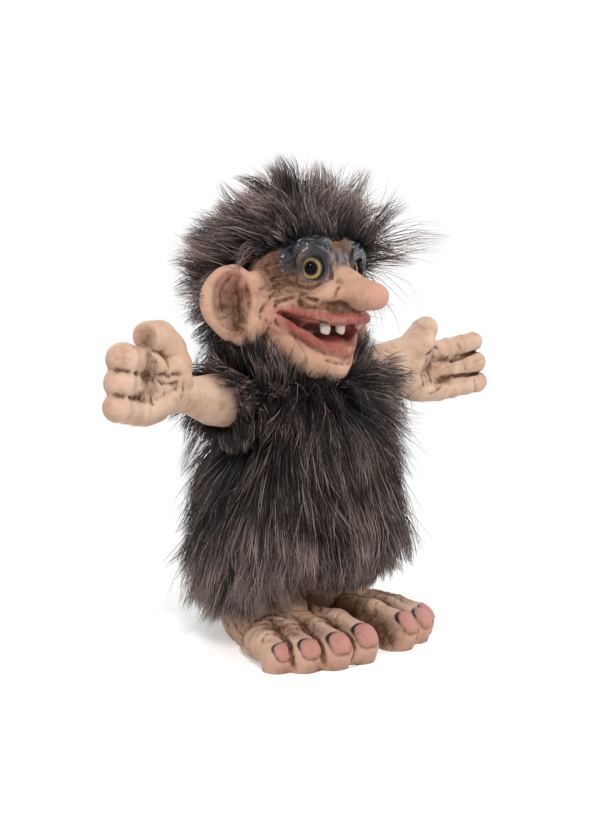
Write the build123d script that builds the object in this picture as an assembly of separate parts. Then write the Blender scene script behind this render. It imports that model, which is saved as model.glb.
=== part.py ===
from build123d import *
import math
import os

# A folk troll figure that stands on two bare feet with its arms held wide open.
# The figure faces -Y and stands on Z = 0. Its left hand is on the +X side.
# Sizes are in millimetres and angles in degrees.

# Fits and gaps
PEG_CLEARANCE = 0.05
EYE_CLEARANCE = 0.1
SOFT_GAP = 0.4
BUSH_WALL = 1.5
WASHER_THICKNESS = 1.5

# Torso core, a turned block under the coat
CORE_BASE_Z = 26.0
CORE_HEIGHT = 80.0
CORE_BASE_RADIUS = 29.0
CORE_BELLY_RADIUS = 31.0
CORE_BELLY_RISE = 30.0
CORE_SHOULDER_RADIUS = 25.0
CORE_SHOULDER_DROP = 14.0
CORE_NECK_RADIUS = 14.0

# Neck peg, on the body's axis
NECK_PEG_RADIUS = 5.0
NECK_PEG_IN_CORE = 24.0
NECK_PEG_IN_HEAD = 22.0

# Arms: a straight round forearm on a peg, then an open hand
SHOULDER_REACH = 28.0
SHOULDER_SET_BACK = 3.0
SHOULDER_DROP = 6.7
SHOULDER_BOSS_RADIUS = 8.0
ARM_RAISE = 9.0
ARM_SWEEP = 6.5
ARM_LENGTH = 40.0
ARM_ROOT_RADIUS = 9.5
WRIST_RADIUS = 8.0
ARM_PEG_RADIUS = 4.0
ARM_PEG_IN_CORE = 15.0
ARM_PEG_IN_ARM = 20.0
HAND_RAISE = 10.0
HAND_SWEEP = 2.5
PALM_LENGTH = 30.0
# Sections of the palm after the wrist: share of its length, half height, half thickness
PALM_SECTIONS = ((0.55, 14.0, 7.6), (1.0, 14.5, 6.2))
FINGER_CURL = 12.0
FINGER_LENGTH = 23.0
FINGER_BASE_RADIUS = 5.2
FINGER_TIP_RADIUS = 4.6
FINGER_HEIGHTS = (9.4, 0.0, -9.4)
FINGER_FANS = (1.5, 0.0, -1.0)
THUMB_BASE = (9.0, 6.0)
THUMB_KNUCKLE = (15.0, 18.5)
THUMB_TIP = (29.0, 19.0)
THUMB_BASE_RADIUS = 7.0
THUMB_KNUCKLE_RADIUS = 6.6
THUMB_TIP_RADIUS = 5.6

# Legs and feet
LEG_SPREAD = 17.0
LEG_SET_BACK = 5.0
LEG_DOWEL_RADIUS = 5.0
LEG_DOWEL_IN_FOOT = 16.0
LEG_DOWEL_IN_CORE = 20.0
FOOT_SPLAY = 10.0
ANKLE_RADIUS = 12.0
HEEL_RADIUS = 15.0
HEEL_BACK = 5.0
HEEL_HEIGHT = 11.0
# Sections of the foot from heel to ball: forward, outward, height, half width, half height
INSTEP_SECTIONS = (
    (-5.0, 0.0, 9.5, 13.0, 15.0),
    (12.0, 2.0, 9.5, 17.0, 14.0),
    (28.0, 4.0, 7.5, 21.0, 10.5),
    (38.0, 5.0, 6.5, 22.0, 7.5),
)
# Toes from the big one to the little one: outward, forward reach, radius
TOES = ((-12.0, 56.0, 8.2), (2.0, 55.0, 7.3), (13.5, 51.0, 6.6), (22.5, 45.0, 5.8))
TOE_ROOT_FORWARD = 30.0
TOE_SINK = 0.6
TOE_ROOT_SPREAD = 0.8
TOE_TAPER = 0.97

# Head: a cast shell whose places are measured from the neck seat on the body's axis
SKULL_RADIUS = 29.0
SKULL_BACK = 7.0
SKULL_RISE = 42.0
NECK_RADIUS = 14.0
BROW_RADIUS = 8.0
BROW_HALF_WIDTH = 17.0
BROW_FORWARD = 13.0
BROW_RISE = 54.0
CHEEK_RADIUS = 13.0
CHEEK_SIDE = 17.0
CHEEK_FORWARD = 7.0
CHEEK_RISE = 34.0
MUZZLE_RADIUS = 16.5
MUZZLE_HALF_WIDTH = 22.0
MUZZLE_FORWARD = 13.5
MUZZLE_RISE = 26.0
CHIN_RADIUS = 9.0
CHIN_HALF_WIDTH = 5.0
CHIN_FORWARD = 12.5
CHIN_RISE = 10.5
JAW_RADIUS = 10.0
JAW_CHIN_RADIUS = 8.8
JAW_SIDE = 18.0
JAW_BACK = -2.0
JAW_RISE = 23.0
NOSE_ROOT_RADIUS = 6.0
NOSE_ROOT_FORWARD = 17.0
NOSE_ROOT_RISE = 45.0
NOSE_TIP_RADIUS = 8.5
NOSE_TIP_FORWARD = 34.0
NOSE_TIP_RISE = 37.5
NOSTRIL_RADIUS = 5.5
NOSTRIL_SIDE = 8.0
NOSTRIL_FORWARD = 26.0
NOSTRIL_RISE = 35.5
EAR_HALF_WIDTH = 11.0
EAR_HALF_HEIGHT = 17.0
EAR_THICKNESS = 7.0
EAR_RIM = 3.0
EAR_DISH_DEPTH = 4.0
EAR_ROUNDING = 2.0
EAR_SIDE = 41.0
EAR_BACK = 2.5
EAR_RISE = 33.5
EAR_FLARE = 45.0
EAR_ROOT_RADIUS = 7.0
EAR_ROOT_TAPER = 0.7
EAR_ROOT_SIDE = 22.0
MOUTH_CURVE_RADIUS = 28.0
MOUTH_CURVE_RISE = 47.5
MOUTH_HALF_ANGLE = 46.0
MOUTH_OPENING = 9.0
MOUTH_BACK = 14.0

# Glass eyes
EYE_RADIUS = 5.0
EYE_SIDE = 13.5
EYE_FORWARD = 15.5
EYE_RISE = 47.5
EYE_TURN_OUT = 18.0
EYE_SKIRT = 1.5
EYE_POCKET_DEPTH = 15.0
IRIS_THICKNESS = 0.6
PUPIL_RADIUS = 1.8
PUPIL_THICKNESS = 0.4
EYE_SHANK_RADIUS = 1.2
EYE_SHANK_LENGTH = 6.0

# Teeth, from the figure's right to its left: side, forward
TOOTH_PLACES = (("right", -8.6, 19.0), ("left", 1.2, 19.0))
TOOTH_WIDTH = 4.4
TOOTH_DEPTH = 2.6
TOOTH_HEIGHT = 6.5
TOOTH_IN_GUM = 2.2
TOOTH_ROUNDING = 0.8

# Fur coat: a knitted backing tube with short sleeves of pile
BACKING_THICKNESS = 1.2
COAT_HEM_Z = 16.0
COAT_HEM_RADIUS = 40.0
COAT_BELLY_RADIUS = 45.0
COAT_BELLY_Z = 52.0
COAT_CHEST_RADIUS = 40.5
COAT_CHEST_Z = 84.0
COAT_SHOULDER_RADIUS = 35.5
COAT_SHOULDER_Z = 99.0
COAT_COLLAR_RADIUS = 27.0
COAT_COLLAR_Z = 106.5
COAT_NECK_RADIUS = 16.0
SLEEVE_RADIUS = 14.0
SLEEVE_LENGTH = 15.0
SLEEVE_UNDER_COLLAR = 10.0
FOOT_TUNNEL_GAP = 1.0

# Wig: a knitted cap with a mane of pile, cut back from the face along the hairline
MANE_RADIUS = 43.0
MANE_BACK = 9.0
MANE_RISE = 41.5
MANE_BOTTOM_RISE = 13.0
# The hairline from the crown down to behind the ears: back, rise
HAIRLINE = ((-22.0, 97.0), (-13.0, 64.0), (9.5, 51.0))
CUT_REACH = 120.0

# Places worked out from the sizes above
CORE_TOP_Z = CORE_BASE_Z + CORE_HEIGHT
HEAD_SEAT_Z = CORE_TOP_Z + WASHER_THICKNESS
BACKING_INNER_GAP = SOFT_GAP
PILE_INNER_GAP = SOFT_GAP + BACKING_THICKNESS + SOFT_GAP


def head_point(side, forward, rise):
    """A point of the head, measured from the neck seat."""
    return Vector(side, -forward, HEAD_SEAT_Z + rise)


def heading(raise_angle, sweep_angle):
    """The direction that a left limb points in: outward, raised, and swept forward."""
    flat = math.cos(math.radians(raise_angle))
    sweep = math.radians(sweep_angle)
    return Vector(flat * math.cos(sweep), -flat * math.sin(sweep), math.sin(math.radians(raise_angle)))


def other_side(piece):
    """The same piece on the figure's right side."""
    return mirror(piece, Plane.YZ)


def rod(start, direction, length, radius):
    """A round bar from a point along a direction."""
    return Plane(start, z_dir=direction) * extrude(Circle(radius), length)


def sleeve_tube(start, direction, length, inner_radius, outer_radius):
    """A round tube from a point along a direction."""
    return Plane(start, z_dir=direction) * extrude(Circle(outer_radius) - Circle(inner_radius), length)


def turned(edges):
    """A solid of revolution about Z from profile edges drawn as (radius, height)."""
    return revolve(Plane.XZ * make_face(edges), Axis.Z)


def ball(centre, radius):
    """A sphere about a point."""
    return Pos(*centre) * Sphere(radius)


def spheroid(centre, direction, radius, half_length):
    """An egg form: round about its direction, with its own half length along it."""
    side = EllipticalCenterArc((0, 0), radius, half_length, -90, arc_size=180)
    return Plane(centre, z_dir=direction) * turned([side, Line(side @ 1, side @ 0)])


def capsule(start, end, start_radius, end_radius):
    """Two balls joined by the cone that is tangent to both."""
    axis = Vector(*end) - Vector(*start)
    lean = math.degrees(math.asin((start_radius - end_radius) / axis.length))
    lower = CenterArc((0, 0), start_radius, -90, 90 + lean)
    upper = CenterArc((0, axis.length), end_radius, lean, 90 - lean)
    edges = [lower, Line(lower @ 1, upper @ 0), upper, Line(upper @ 1, lower @ 0)]
    return Plane(start, z_dir=axis) * turned(edges)


def fused(pieces):
    """One solid from several that overlap."""
    whole = pieces[0]
    for piece in pieces[1:]:
        whole = whole + piece
    return whole


# The left arm's line: its seat on the shoulder boss, its direction, and its wrist
ARM_DIRECTION = heading(ARM_RAISE, ARM_SWEEP)
SHOULDER_SEAT = Vector(SHOULDER_REACH, SHOULDER_SET_BACK, CORE_TOP_Z - SHOULDER_DROP)
ARM_START = SHOULDER_SEAT + ARM_DIRECTION * WASHER_THICKNESS
WRIST = ARM_START + ARM_DIRECTION * ARM_LENGTH


def core_edges(gap, base_z):
    """The core's profile grown sideways by a gap, down to a base height."""
    shoulder_z = CORE_TOP_Z - CORE_SHOULDER_DROP
    base = (CORE_BASE_RADIUS + gap, CORE_BASE_Z)
    belly = (CORE_BELLY_RADIUS + gap, CORE_BASE_Z + CORE_BELLY_RISE)
    shoulder = (CORE_SHOULDER_RADIUS + gap, shoulder_z)
    neck = (CORE_NECK_RADIUS + gap, CORE_TOP_Z)
    edges = [ThreePointArc(base, belly, shoulder), Line(shoulder, neck), Line(neck, (0, CORE_TOP_Z))]
    if base_z < CORE_BASE_Z:
        edges.insert(0, Line((CORE_BASE_RADIUS + gap, base_z), base))
    edges.append(Line((0, CORE_TOP_Z), (0, base_z)))
    edges.append(Line((0, base_z), (CORE_BASE_RADIUS + gap, base_z)))
    return edges


def shoulder_boss():
    """The round boss that carries the left arm, from the body's axis out to the arm's seat."""
    inner_end = SHOULDER_SEAT - ARM_DIRECTION * SHOULDER_REACH
    return rod(inner_end, ARM_DIRECTION, SHOULDER_REACH, SHOULDER_BOSS_RADIUS)


def shoulder_bore():
    """The hole that takes the left shoulder bush, open at the seat."""
    inner_end = SHOULDER_SEAT - ARM_DIRECTION * ARM_PEG_IN_CORE
    return rod(inner_end, ARM_DIRECTION, ARM_PEG_IN_CORE, shoulder_bush_radius())


def shoulder_bush_radius():
    return ARM_PEG_RADIUS + PEG_CLEARANCE + BUSH_WALL


def neck_bush_radius():
    return NECK_PEG_RADIUS + PEG_CLEARANCE + BUSH_WALL


def leg_dowel():
    """The left leg's dowel, glued into the foot and the core."""
    start = (LEG_SPREAD, LEG_SET_BACK, CORE_BASE_Z - LEG_DOWEL_IN_FOOT)
    return rod(start, (0, 0, 1), LEG_DOWEL_IN_FOOT + LEG_DOWEL_IN_CORE, LEG_DOWEL_RADIUS)


def torso_core():
    boss = shoulder_boss()
    bore = shoulder_bore()
    dowel = leg_dowel()
    neck_bore = rod((0, 0, CORE_TOP_Z - NECK_PEG_IN_CORE), (0, 0, 1), NECK_PEG_IN_CORE, neck_bush_radius())
    core = turned(core_edges(0, CORE_BASE_Z)) + boss + other_side(boss)
    return core - bore - other_side(bore) - dowel - other_side(dowel) - neck_bore


def neck_bush():
    start = (0, 0, CORE_TOP_Z - NECK_PEG_IN_CORE)
    return sleeve_tube(start, (0, 0, 1), NECK_PEG_IN_CORE, NECK_PEG_RADIUS + PEG_CLEARANCE, neck_bush_radius())


def neck_washer():
    start = (0, 0, CORE_TOP_Z)
    return sleeve_tube(start, (0, 0, 1), WASHER_THICKNESS, NECK_PEG_RADIUS + PEG_CLEARANCE, NECK_RADIUS)


def neck_peg():
    start = (0, 0, CORE_TOP_Z - NECK_PEG_IN_CORE)
    length = NECK_PEG_IN_CORE + WASHER_THICKNESS + NECK_PEG_IN_HEAD
    return rod(start, (0, 0, 1), length, NECK_PEG_RADIUS)


def shoulder_bush():
    start = SHOULDER_SEAT - ARM_DIRECTION * ARM_PEG_IN_CORE
    inner = ARM_PEG_RADIUS + PEG_CLEARANCE
    return sleeve_tube(start, ARM_DIRECTION, ARM_PEG_IN_CORE, inner, shoulder_bush_radius())


def shoulder_washer():
    inner = ARM_PEG_RADIUS + PEG_CLEARANCE
    return sleeve_tube(SHOULDER_SEAT, ARM_DIRECTION, WASHER_THICKNESS, inner, SHOULDER_BOSS_RADIUS)


def arm_peg():
    start = SHOULDER_SEAT - ARM_DIRECTION * ARM_PEG_IN_CORE
    length = ARM_PEG_IN_CORE + WASHER_THICKNESS + ARM_PEG_IN_ARM
    return rod(start, ARM_DIRECTION, length, ARM_PEG_RADIUS)


def hand_plane():
    """The left hand's frame at the wrist: X along the palm, Y up across the fingers, Z out of the palm."""
    along = heading(HAND_RAISE, ARM_SWEEP + HAND_SWEEP)
    palm_side = along.cross(Vector(0, 0, 1))
    return Plane(WRIST, x_dir=along, z_dir=palm_side)


def palm(frame):
    """The palm, from the round wrist to the flat row of knuckles."""
    wrist = Plane(WRIST, z_dir=ARM_DIRECTION, x_dir=frame.y_dir) * Ellipse(WRIST_RADIUS, WRIST_RADIUS)
    sections = [wrist]
    for share, height, thickness in PALM_SECTIONS:
        place = Plane(frame.from_local_coords((PALM_LENGTH * share, 0, 0)), z_dir=frame.x_dir, x_dir=frame.y_dir)
        sections.append(place * Ellipse(height, thickness))
    return loft(sections)


def finger(frame, height, fan):
    """One finger, curled towards the palm side, from inside the palm to its tip."""
    curl = math.radians(FINGER_CURL)
    spread = math.radians(fan)
    along = Vector(math.cos(curl) * math.cos(spread), math.sin(spread), math.sin(curl))
    root = Vector(PALM_LENGTH - FINGER_BASE_RADIUS, height, 0)
    tip = root + along * FINGER_LENGTH
    return capsule(frame.from_local_coords(root), frame.from_local_coords(tip),
                   FINGER_BASE_RADIUS, FINGER_TIP_RADIUS)


def thumb(frame):
    """The thumb stands up beside the palm and turns out over the fingers."""
    base, knuckle, tip = (frame.from_local_coords((along, up, 0)) for along, up in
                          (THUMB_BASE, THUMB_KNUCKLE, THUMB_TIP))
    return (capsule(base, knuckle, THUMB_BASE_RADIUS, THUMB_KNUCKLE_RADIUS)
            + capsule(knuckle, tip, THUMB_KNUCKLE_RADIUS, THUMB_TIP_RADIUS))


def arm():
    """The left forearm and hand, one casting on its peg."""
    frame = hand_plane()
    forearm = loft([Plane(ARM_START, z_dir=ARM_DIRECTION) * Circle(ARM_ROOT_RADIUS),
                    Plane(WRIST, z_dir=ARM_DIRECTION) * Circle(WRIST_RADIUS)])
    fingers = [finger(frame, height, fan) for height, fan in zip(FINGER_HEIGHTS, FINGER_FANS)]
    return fused([forearm, ball(WRIST, WRIST_RADIUS), palm(frame), *fingers, thumb(frame)]) - arm_peg()


def foot_plane():
    """The left foot's frame on the floor under the ankle: X outward, Y back."""
    splay = math.radians(FOOT_SPLAY)
    return Plane((LEG_SPREAD, LEG_SET_BACK, 0), x_dir=(math.cos(splay), math.sin(splay), 0), z_dir=(0, 0, 1))


def toe(outward, reach, radius):
    """One toe, from the ball of the foot to its tip, resting on the floor."""
    root = (outward * TOE_ROOT_SPREAD, -TOE_ROOT_FORWARD, radius)
    tip = (outward, radius - reach, radius - TOE_SINK)
    return capsule(root, tip, radius, radius * TOE_TAPER)


def foot():
    """The left foot, with a flat sole and a round seat for the ankle under the core."""
    sections = []
    for forward, outward, height, half_width, half_height in INSTEP_SECTIONS:
        place = Plane((outward, -forward, height), x_dir=(1, 0, 0), z_dir=(0, -1, 0))
        sections.append(place * Ellipse(half_width, half_height))
    ankle = extrude(Circle(ANKLE_RADIUS), CORE_BASE_Z)
    toes = [toe(*sizes) for sizes in TOES]
    whole = fused([loft(sections), ball((0, HEEL_BACK, HEEL_HEIGHT), HEEL_RADIUS), ankle, *toes])
    above_floor = Pos(0, 0, CUT_REACH / 2) * Box(CUT_REACH * 2, CUT_REACH * 2, CUT_REACH)
    return (foot_plane() * (whole & above_floor)) - leg_dowel()


def foot_tunnel():
    """The space that the coat leaves over the left foot, from the floor to the core."""
    rings = [Pos(0, HEEL_BACK) * Circle(HEEL_RADIUS + FOOT_TUNNEL_GAP)]
    for outward, reach, radius in TOES:
        rings.append(Pos(outward, radius - reach) * Circle(radius + FOOT_TUNNEL_GAP))
    outline = make_hull([edge for ring in rings for edge in ring.edges()])
    return foot_plane() * extrude(outline, CORE_BASE_Z + SOFT_GAP)


def arm_tunnel():
    """The round way that the left arm takes through the coat."""
    start = SHOULDER_SEAT - ARM_DIRECTION * SHOULDER_REACH
    return rod(start, ARM_DIRECTION, CUT_REACH, ARM_ROOT_RADIUS + SOFT_GAP)


def both_sides(piece):
    return [piece, other_side(piece)]


def coat_backing():
    """The knitted tube that the pile grows from, drawn over the core."""
    outer = turned(core_edges(BACKING_INNER_GAP + BACKING_THICKNESS, COAT_HEM_Z))
    inner = turned(core_edges(BACKING_INNER_GAP, COAT_HEM_Z))
    tube = outer - inner
    for cut in both_sides(arm_tunnel()) + both_sides(foot_tunnel()):
        tube = tube - cut
    return tube


def coat_pile():
    """The coat's fur as a closed form between the backing and the ends of the pile."""
    hem = (COAT_HEM_RADIUS, COAT_HEM_Z)
    chest = (COAT_CHEST_RADIUS, COAT_CHEST_Z)
    collar = (COAT_COLLAR_RADIUS, COAT_COLLAR_Z)
    side = [ThreePointArc(hem, (COAT_BELLY_RADIUS, COAT_BELLY_Z), chest),
            ThreePointArc(chest, (COAT_SHOULDER_RADIUS, COAT_SHOULDER_Z), collar),
            Line(collar, (0, COAT_COLLAR_Z)), Line((0, COAT_COLLAR_Z), (0, COAT_HEM_Z)),
            Line((0, COAT_HEM_Z), hem)]
    sleeve_start = SHOULDER_SEAT - ARM_DIRECTION * SLEEVE_UNDER_COLLAR
    sleeve = rod(sleeve_start, ARM_DIRECTION, SLEEVE_UNDER_COLLAR + SLEEVE_LENGTH, SLEEVE_RADIUS)
    pile = turned(side) + sleeve + other_side(sleeve)
    pile = pile - turned(core_edges(PILE_INNER_GAP, COAT_HEM_Z))
    pile = pile - rod((0, 0, 0), (0, 0, 1), CUT_REACH, COAT_NECK_RADIUS)
    for cut in both_sides(arm_tunnel()) + both_sides(foot_tunnel()):
        pile = pile - cut
    return pile


def ear():
    """The left ear: a dished plate that flares from the head, on a thick root."""
    flare = math.radians(EAR_FLARE)
    facing = Vector(math.sin(flare), -math.cos(flare), 0)
    centre = head_point(EAR_SIDE, -EAR_BACK, EAR_RISE)
    place = Plane(centre, x_dir=facing.cross(Vector(0, 0, 1)), z_dir=facing)
    plate = extrude(Ellipse(EAR_HALF_WIDTH, EAR_HALF_HEIGHT), EAR_THICKNESS / 2, both=True)
    plate = fillet(plate.edges(), EAR_ROUNDING)
    dish = extrude(Ellipse(EAR_HALF_WIDTH - EAR_RIM, EAR_HALF_HEIGHT - EAR_RIM), EAR_DISH_DEPTH)
    plate = plate - Pos(0, 0, EAR_THICKNESS / 2 - EAR_DISH_DEPTH) * dish
    inward = place.x_dir * (EAR_HALF_WIDTH / 2)
    plate_root = centre + inward - facing * (EAR_THICKNESS / 2 - EAR_DISH_DEPTH + EAR_ROOT_RADIUS)
    root = capsule(head_point(EAR_ROOT_SIDE, 0, EAR_RISE), plate_root, EAR_ROOT_RADIUS,
                   EAR_ROOT_RADIUS * EAR_ROOT_TAPER)
    return place * plate, root


def eye_plane():
    """The left eye's frame: its back plane's centre, with Z along its gaze."""
    turn = math.radians(EYE_TURN_OUT)
    return Plane(head_point(EYE_SIDE, EYE_FORWARD, EYE_RISE), z_dir=(math.sin(turn), -math.cos(turn), 0))


def eye_pupil():
    return eye_plane() * Pos(0, 0, -EYE_SKIRT) * extrude(Circle(PUPIL_RADIUS), PUPIL_THICKNESS)


def eye_lens():
    """The clear dome, with the pupil let into its flat back."""
    dome = CenterArc((0, 0), EYE_RADIUS, 0, 90)
    back = (0, -EYE_SKIRT)
    rim = (EYE_RADIUS, -EYE_SKIRT)
    glass = turned([Line(back, rim), Line(rim, dome @ 0), dome, Line(dome @ 1, back)])
    return eye_plane() * glass - eye_pupil()


def eye_iris():
    return eye_plane() * Pos(0, 0, -EYE_SKIRT - IRIS_THICKNESS) * extrude(Circle(EYE_RADIUS), IRIS_THICKNESS)


def eye_shank():
    back = -EYE_SKIRT - IRIS_THICKNESS - EYE_SHANK_LENGTH
    return eye_plane() * Pos(0, 0, back) * extrude(Circle(EYE_SHANK_RADIUS), EYE_SHANK_LENGTH)


def eye_socket():
    """The round pocket in the face that takes the left eye and its shank."""
    back = -EYE_SKIRT - IRIS_THICKNESS
    pocket = Pos(0, 0, back) * extrude(Circle(EYE_RADIUS + EYE_CLEARANCE), EYE_POCKET_DEPTH)
    hole = Pos(0, 0, back - EYE_SHANK_LENGTH) * extrude(Circle(EYE_SHANK_RADIUS), EYE_SHANK_LENGTH)
    return eye_plane() * (pocket + hole)


def mouth_roof_rise(side):
    """How high the mouth's roof is above the neck seat, at a distance from the middle."""
    roof_radius = MOUTH_CURVE_RADIUS - MOUTH_OPENING / 2
    return MOUTH_CURVE_RISE - math.sqrt(roof_radius ** 2 - side ** 2)


def mouth():
    """The open grin: a curved slot cut back into the face."""
    curve = CenterArc((0, HEAD_SEAT_Z + MOUTH_CURVE_RISE), MOUTH_CURVE_RADIUS,
                      270 - MOUTH_HALF_ANGLE, 2 * MOUTH_HALF_ANGLE)
    return Plane.XZ.offset(MOUTH_BACK) * extrude(SlotArc(curve, MOUTH_OPENING), CUT_REACH)


def tooth(side, forward):
    """One upper tooth, let into the roof of the mouth."""
    block = Box(TOOTH_WIDTH, TOOTH_DEPTH, TOOTH_HEIGHT)
    block = fillet(block.edges().filter_by(Axis.Z), TOOTH_ROUNDING)
    rise = mouth_roof_rise(side) + TOOTH_IN_GUM - TOOTH_HEIGHT / 2
    return Pos(*head_point(side, forward, rise)) * block


def head(teeth):
    """The head casting, with its nose, ears and grin, bored for the neck peg and the eyes."""
    skull = ball(head_point(0, -SKULL_BACK, SKULL_RISE), SKULL_RADIUS)
    neck = rod((0, 0, HEAD_SEAT_Z), (0, 0, 1), SKULL_RISE, NECK_RADIUS)
    brow = spheroid(head_point(0, BROW_FORWARD, BROW_RISE), (1, 0, 0), BROW_RADIUS, BROW_HALF_WIDTH)
    muzzle = spheroid(head_point(0, MUZZLE_FORWARD, MUZZLE_RISE), (1, 0, 0), MUZZLE_RADIUS, MUZZLE_HALF_WIDTH)
    chin = capsule(head_point(-CHIN_HALF_WIDTH, CHIN_FORWARD, CHIN_RISE),
                   head_point(CHIN_HALF_WIDTH, CHIN_FORWARD, CHIN_RISE), CHIN_RADIUS, CHIN_RADIUS)
    nose = capsule(head_point(0, NOSE_ROOT_FORWARD, NOSE_ROOT_RISE),
                   head_point(0, NOSE_TIP_FORWARD, NOSE_TIP_RISE), NOSE_ROOT_RADIUS, NOSE_TIP_RADIUS)
    jaw = capsule(head_point(JAW_SIDE, -JAW_BACK, JAW_RISE),
                  head_point(CHIN_HALF_WIDTH, CHIN_FORWARD, CHIN_RISE), JAW_RADIUS, JAW_CHIN_RADIUS)
    cheek = ball(head_point(CHEEK_SIDE, CHEEK_FORWARD, CHEEK_RISE), CHEEK_RADIUS)
    nostril = ball(head_point(NOSTRIL_SIDE, NOSTRIL_FORWARD, NOSTRIL_RISE), NOSTRIL_RADIUS)
    ear_plate, ear_root = ear()
    pairs = [side for piece in (jaw, cheek, nostril, ear_root, ear_plate) for side in both_sides(piece)]
    face = fused([skull, neck, muzzle, brow, chin, *pairs]) - mouth() + nose
    for cut in both_sides(eye_socket()) + [neck_peg(), *teeth]:
        face = face - cut
    return face


def hair_space():
    """The space behind the hairline and above the bottom of the mane."""
    bottom = HEAD_SEAT_Z + MANE_BOTTOM_RISE
    line = [(back, HEAD_SEAT_Z + rise) for back, rise in HAIRLINE]
    last_back = HAIRLINE[-1][0]
    corners = line + [(last_back, bottom), (CUT_REACH, bottom), (CUT_REACH, line[0][1])]
    return extrude(Plane.YZ * make_face(Polyline(*corners, close=True)), CUT_REACH, both=True)


def wig_backing():
    """The knitted cap glued over the skull."""
    centre = head_point(0, -SKULL_BACK, SKULL_RISE)
    cap = ball(centre, SKULL_RADIUS + SOFT_GAP + BACKING_THICKNESS) & hair_space()
    neck_space = rod((0, 0, 0), (0, 0, 1), HEAD_SEAT_Z + SKULL_RISE, NECK_RADIUS + SOFT_GAP)
    return cap - ball(centre, SKULL_RADIUS + SOFT_GAP) - neck_space


def wig_mane():
    """The mane as a closed form between the cap and the ends of the hair."""
    skull_centre = head_point(0, -SKULL_BACK, SKULL_RISE)
    mane = ball(head_point(0, -MANE_BACK, MANE_RISE), MANE_RADIUS)
    return (mane & hair_space()) - ball(skull_centre, SKULL_RADIUS + PILE_INNER_GAP)


def all_pieces():
    """Every piece by name, in the figure's own frame about the body's axis."""
    pieces = {
        "torso_core": torso_core(),
        "neck_bush": neck_bush(),
        "neck_washer": neck_washer(),
        "neck_peg": neck_peg(),
        "coat_backing": coat_backing(),
        "coat_pile": coat_pile(),
    }
    teeth = {f"{name}_tooth": tooth(side, forward) for name, side, forward in TOOTH_PLACES}
    pieces["head"] = head(list(teeth.values()))
    pieces.update(teeth)
    pieces["wig_backing"] = wig_backing()
    pieces["wig_mane"] = wig_mane()
    paired = {"arm": arm, "arm_peg": arm_peg, "shoulder_bush": shoulder_bush, "shoulder_washer": shoulder_washer,
              "foot": foot, "leg_dowel": leg_dowel, "eye_lens": eye_lens, "eye_pupil": eye_pupil,
              "eye_iris": eye_iris, "eye_shank": eye_shank}
    for name, make in paired.items():
        left = make()
        pieces[f"left_{name}"] = left
        pieces[f"right_{name}"] = other_side(left)
    return pieces


def main():
    os.makedirs("parts", exist_ok=True)
    pieces = all_pieces()
    box = Compound(children=[Compound(piece.solids()) for piece in pieces.values()]).bounding_box()
    # The origin is on the floor under the middle of the figure's box.
    centring = Vector(-box.center().X, -box.center().Y, -box.min.Z)
    for name, piece in pieces.items():
        solids = [solid.moved(Pos(*centring)) for solid in piece.solids()]
        export_step(Compound(solids) if len(solids) > 1 else solids[0], f"parts/{name}.step")
    seat = SHOULDER_SEAT + centring
    print("size", box.size)
    print("neck axis", centring.X, centring.Y, "left shoulder", tuple(seat), "left arm axis", tuple(ARM_DIRECTION))


main()
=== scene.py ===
import math

import bpy
import numpy as np
from mathutils import Euler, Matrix, Quaternion, Vector, kdtree
from mathutils.bvhtree import BVHTree


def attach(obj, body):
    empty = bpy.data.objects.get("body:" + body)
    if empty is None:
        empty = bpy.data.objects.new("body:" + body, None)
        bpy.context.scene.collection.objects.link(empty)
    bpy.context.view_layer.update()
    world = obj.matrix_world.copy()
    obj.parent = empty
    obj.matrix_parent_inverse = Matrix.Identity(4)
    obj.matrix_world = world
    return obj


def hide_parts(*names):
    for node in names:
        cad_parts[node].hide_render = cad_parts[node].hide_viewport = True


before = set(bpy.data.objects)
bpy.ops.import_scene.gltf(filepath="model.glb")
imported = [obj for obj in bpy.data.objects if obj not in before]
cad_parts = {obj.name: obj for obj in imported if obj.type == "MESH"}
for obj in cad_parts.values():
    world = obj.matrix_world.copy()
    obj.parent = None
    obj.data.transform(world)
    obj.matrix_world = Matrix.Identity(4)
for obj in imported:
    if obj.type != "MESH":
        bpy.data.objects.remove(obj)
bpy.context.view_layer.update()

bl_info = {
    "name": "Troll figure",
    "version": (1, 0, 0),
    "blender": (4, 5, 0),
    "location": "3D View > Sidebar > Troll",
    "description": "Painted castings, glass eyes, fur coat and wig for the standing troll",
    "category": "Object",
}

# Lengths below are in millimetres about the body's axis, and go into meshes times MM.
MM = 0.001
SIDES = (("right", -1), ("left", 1))


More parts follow.
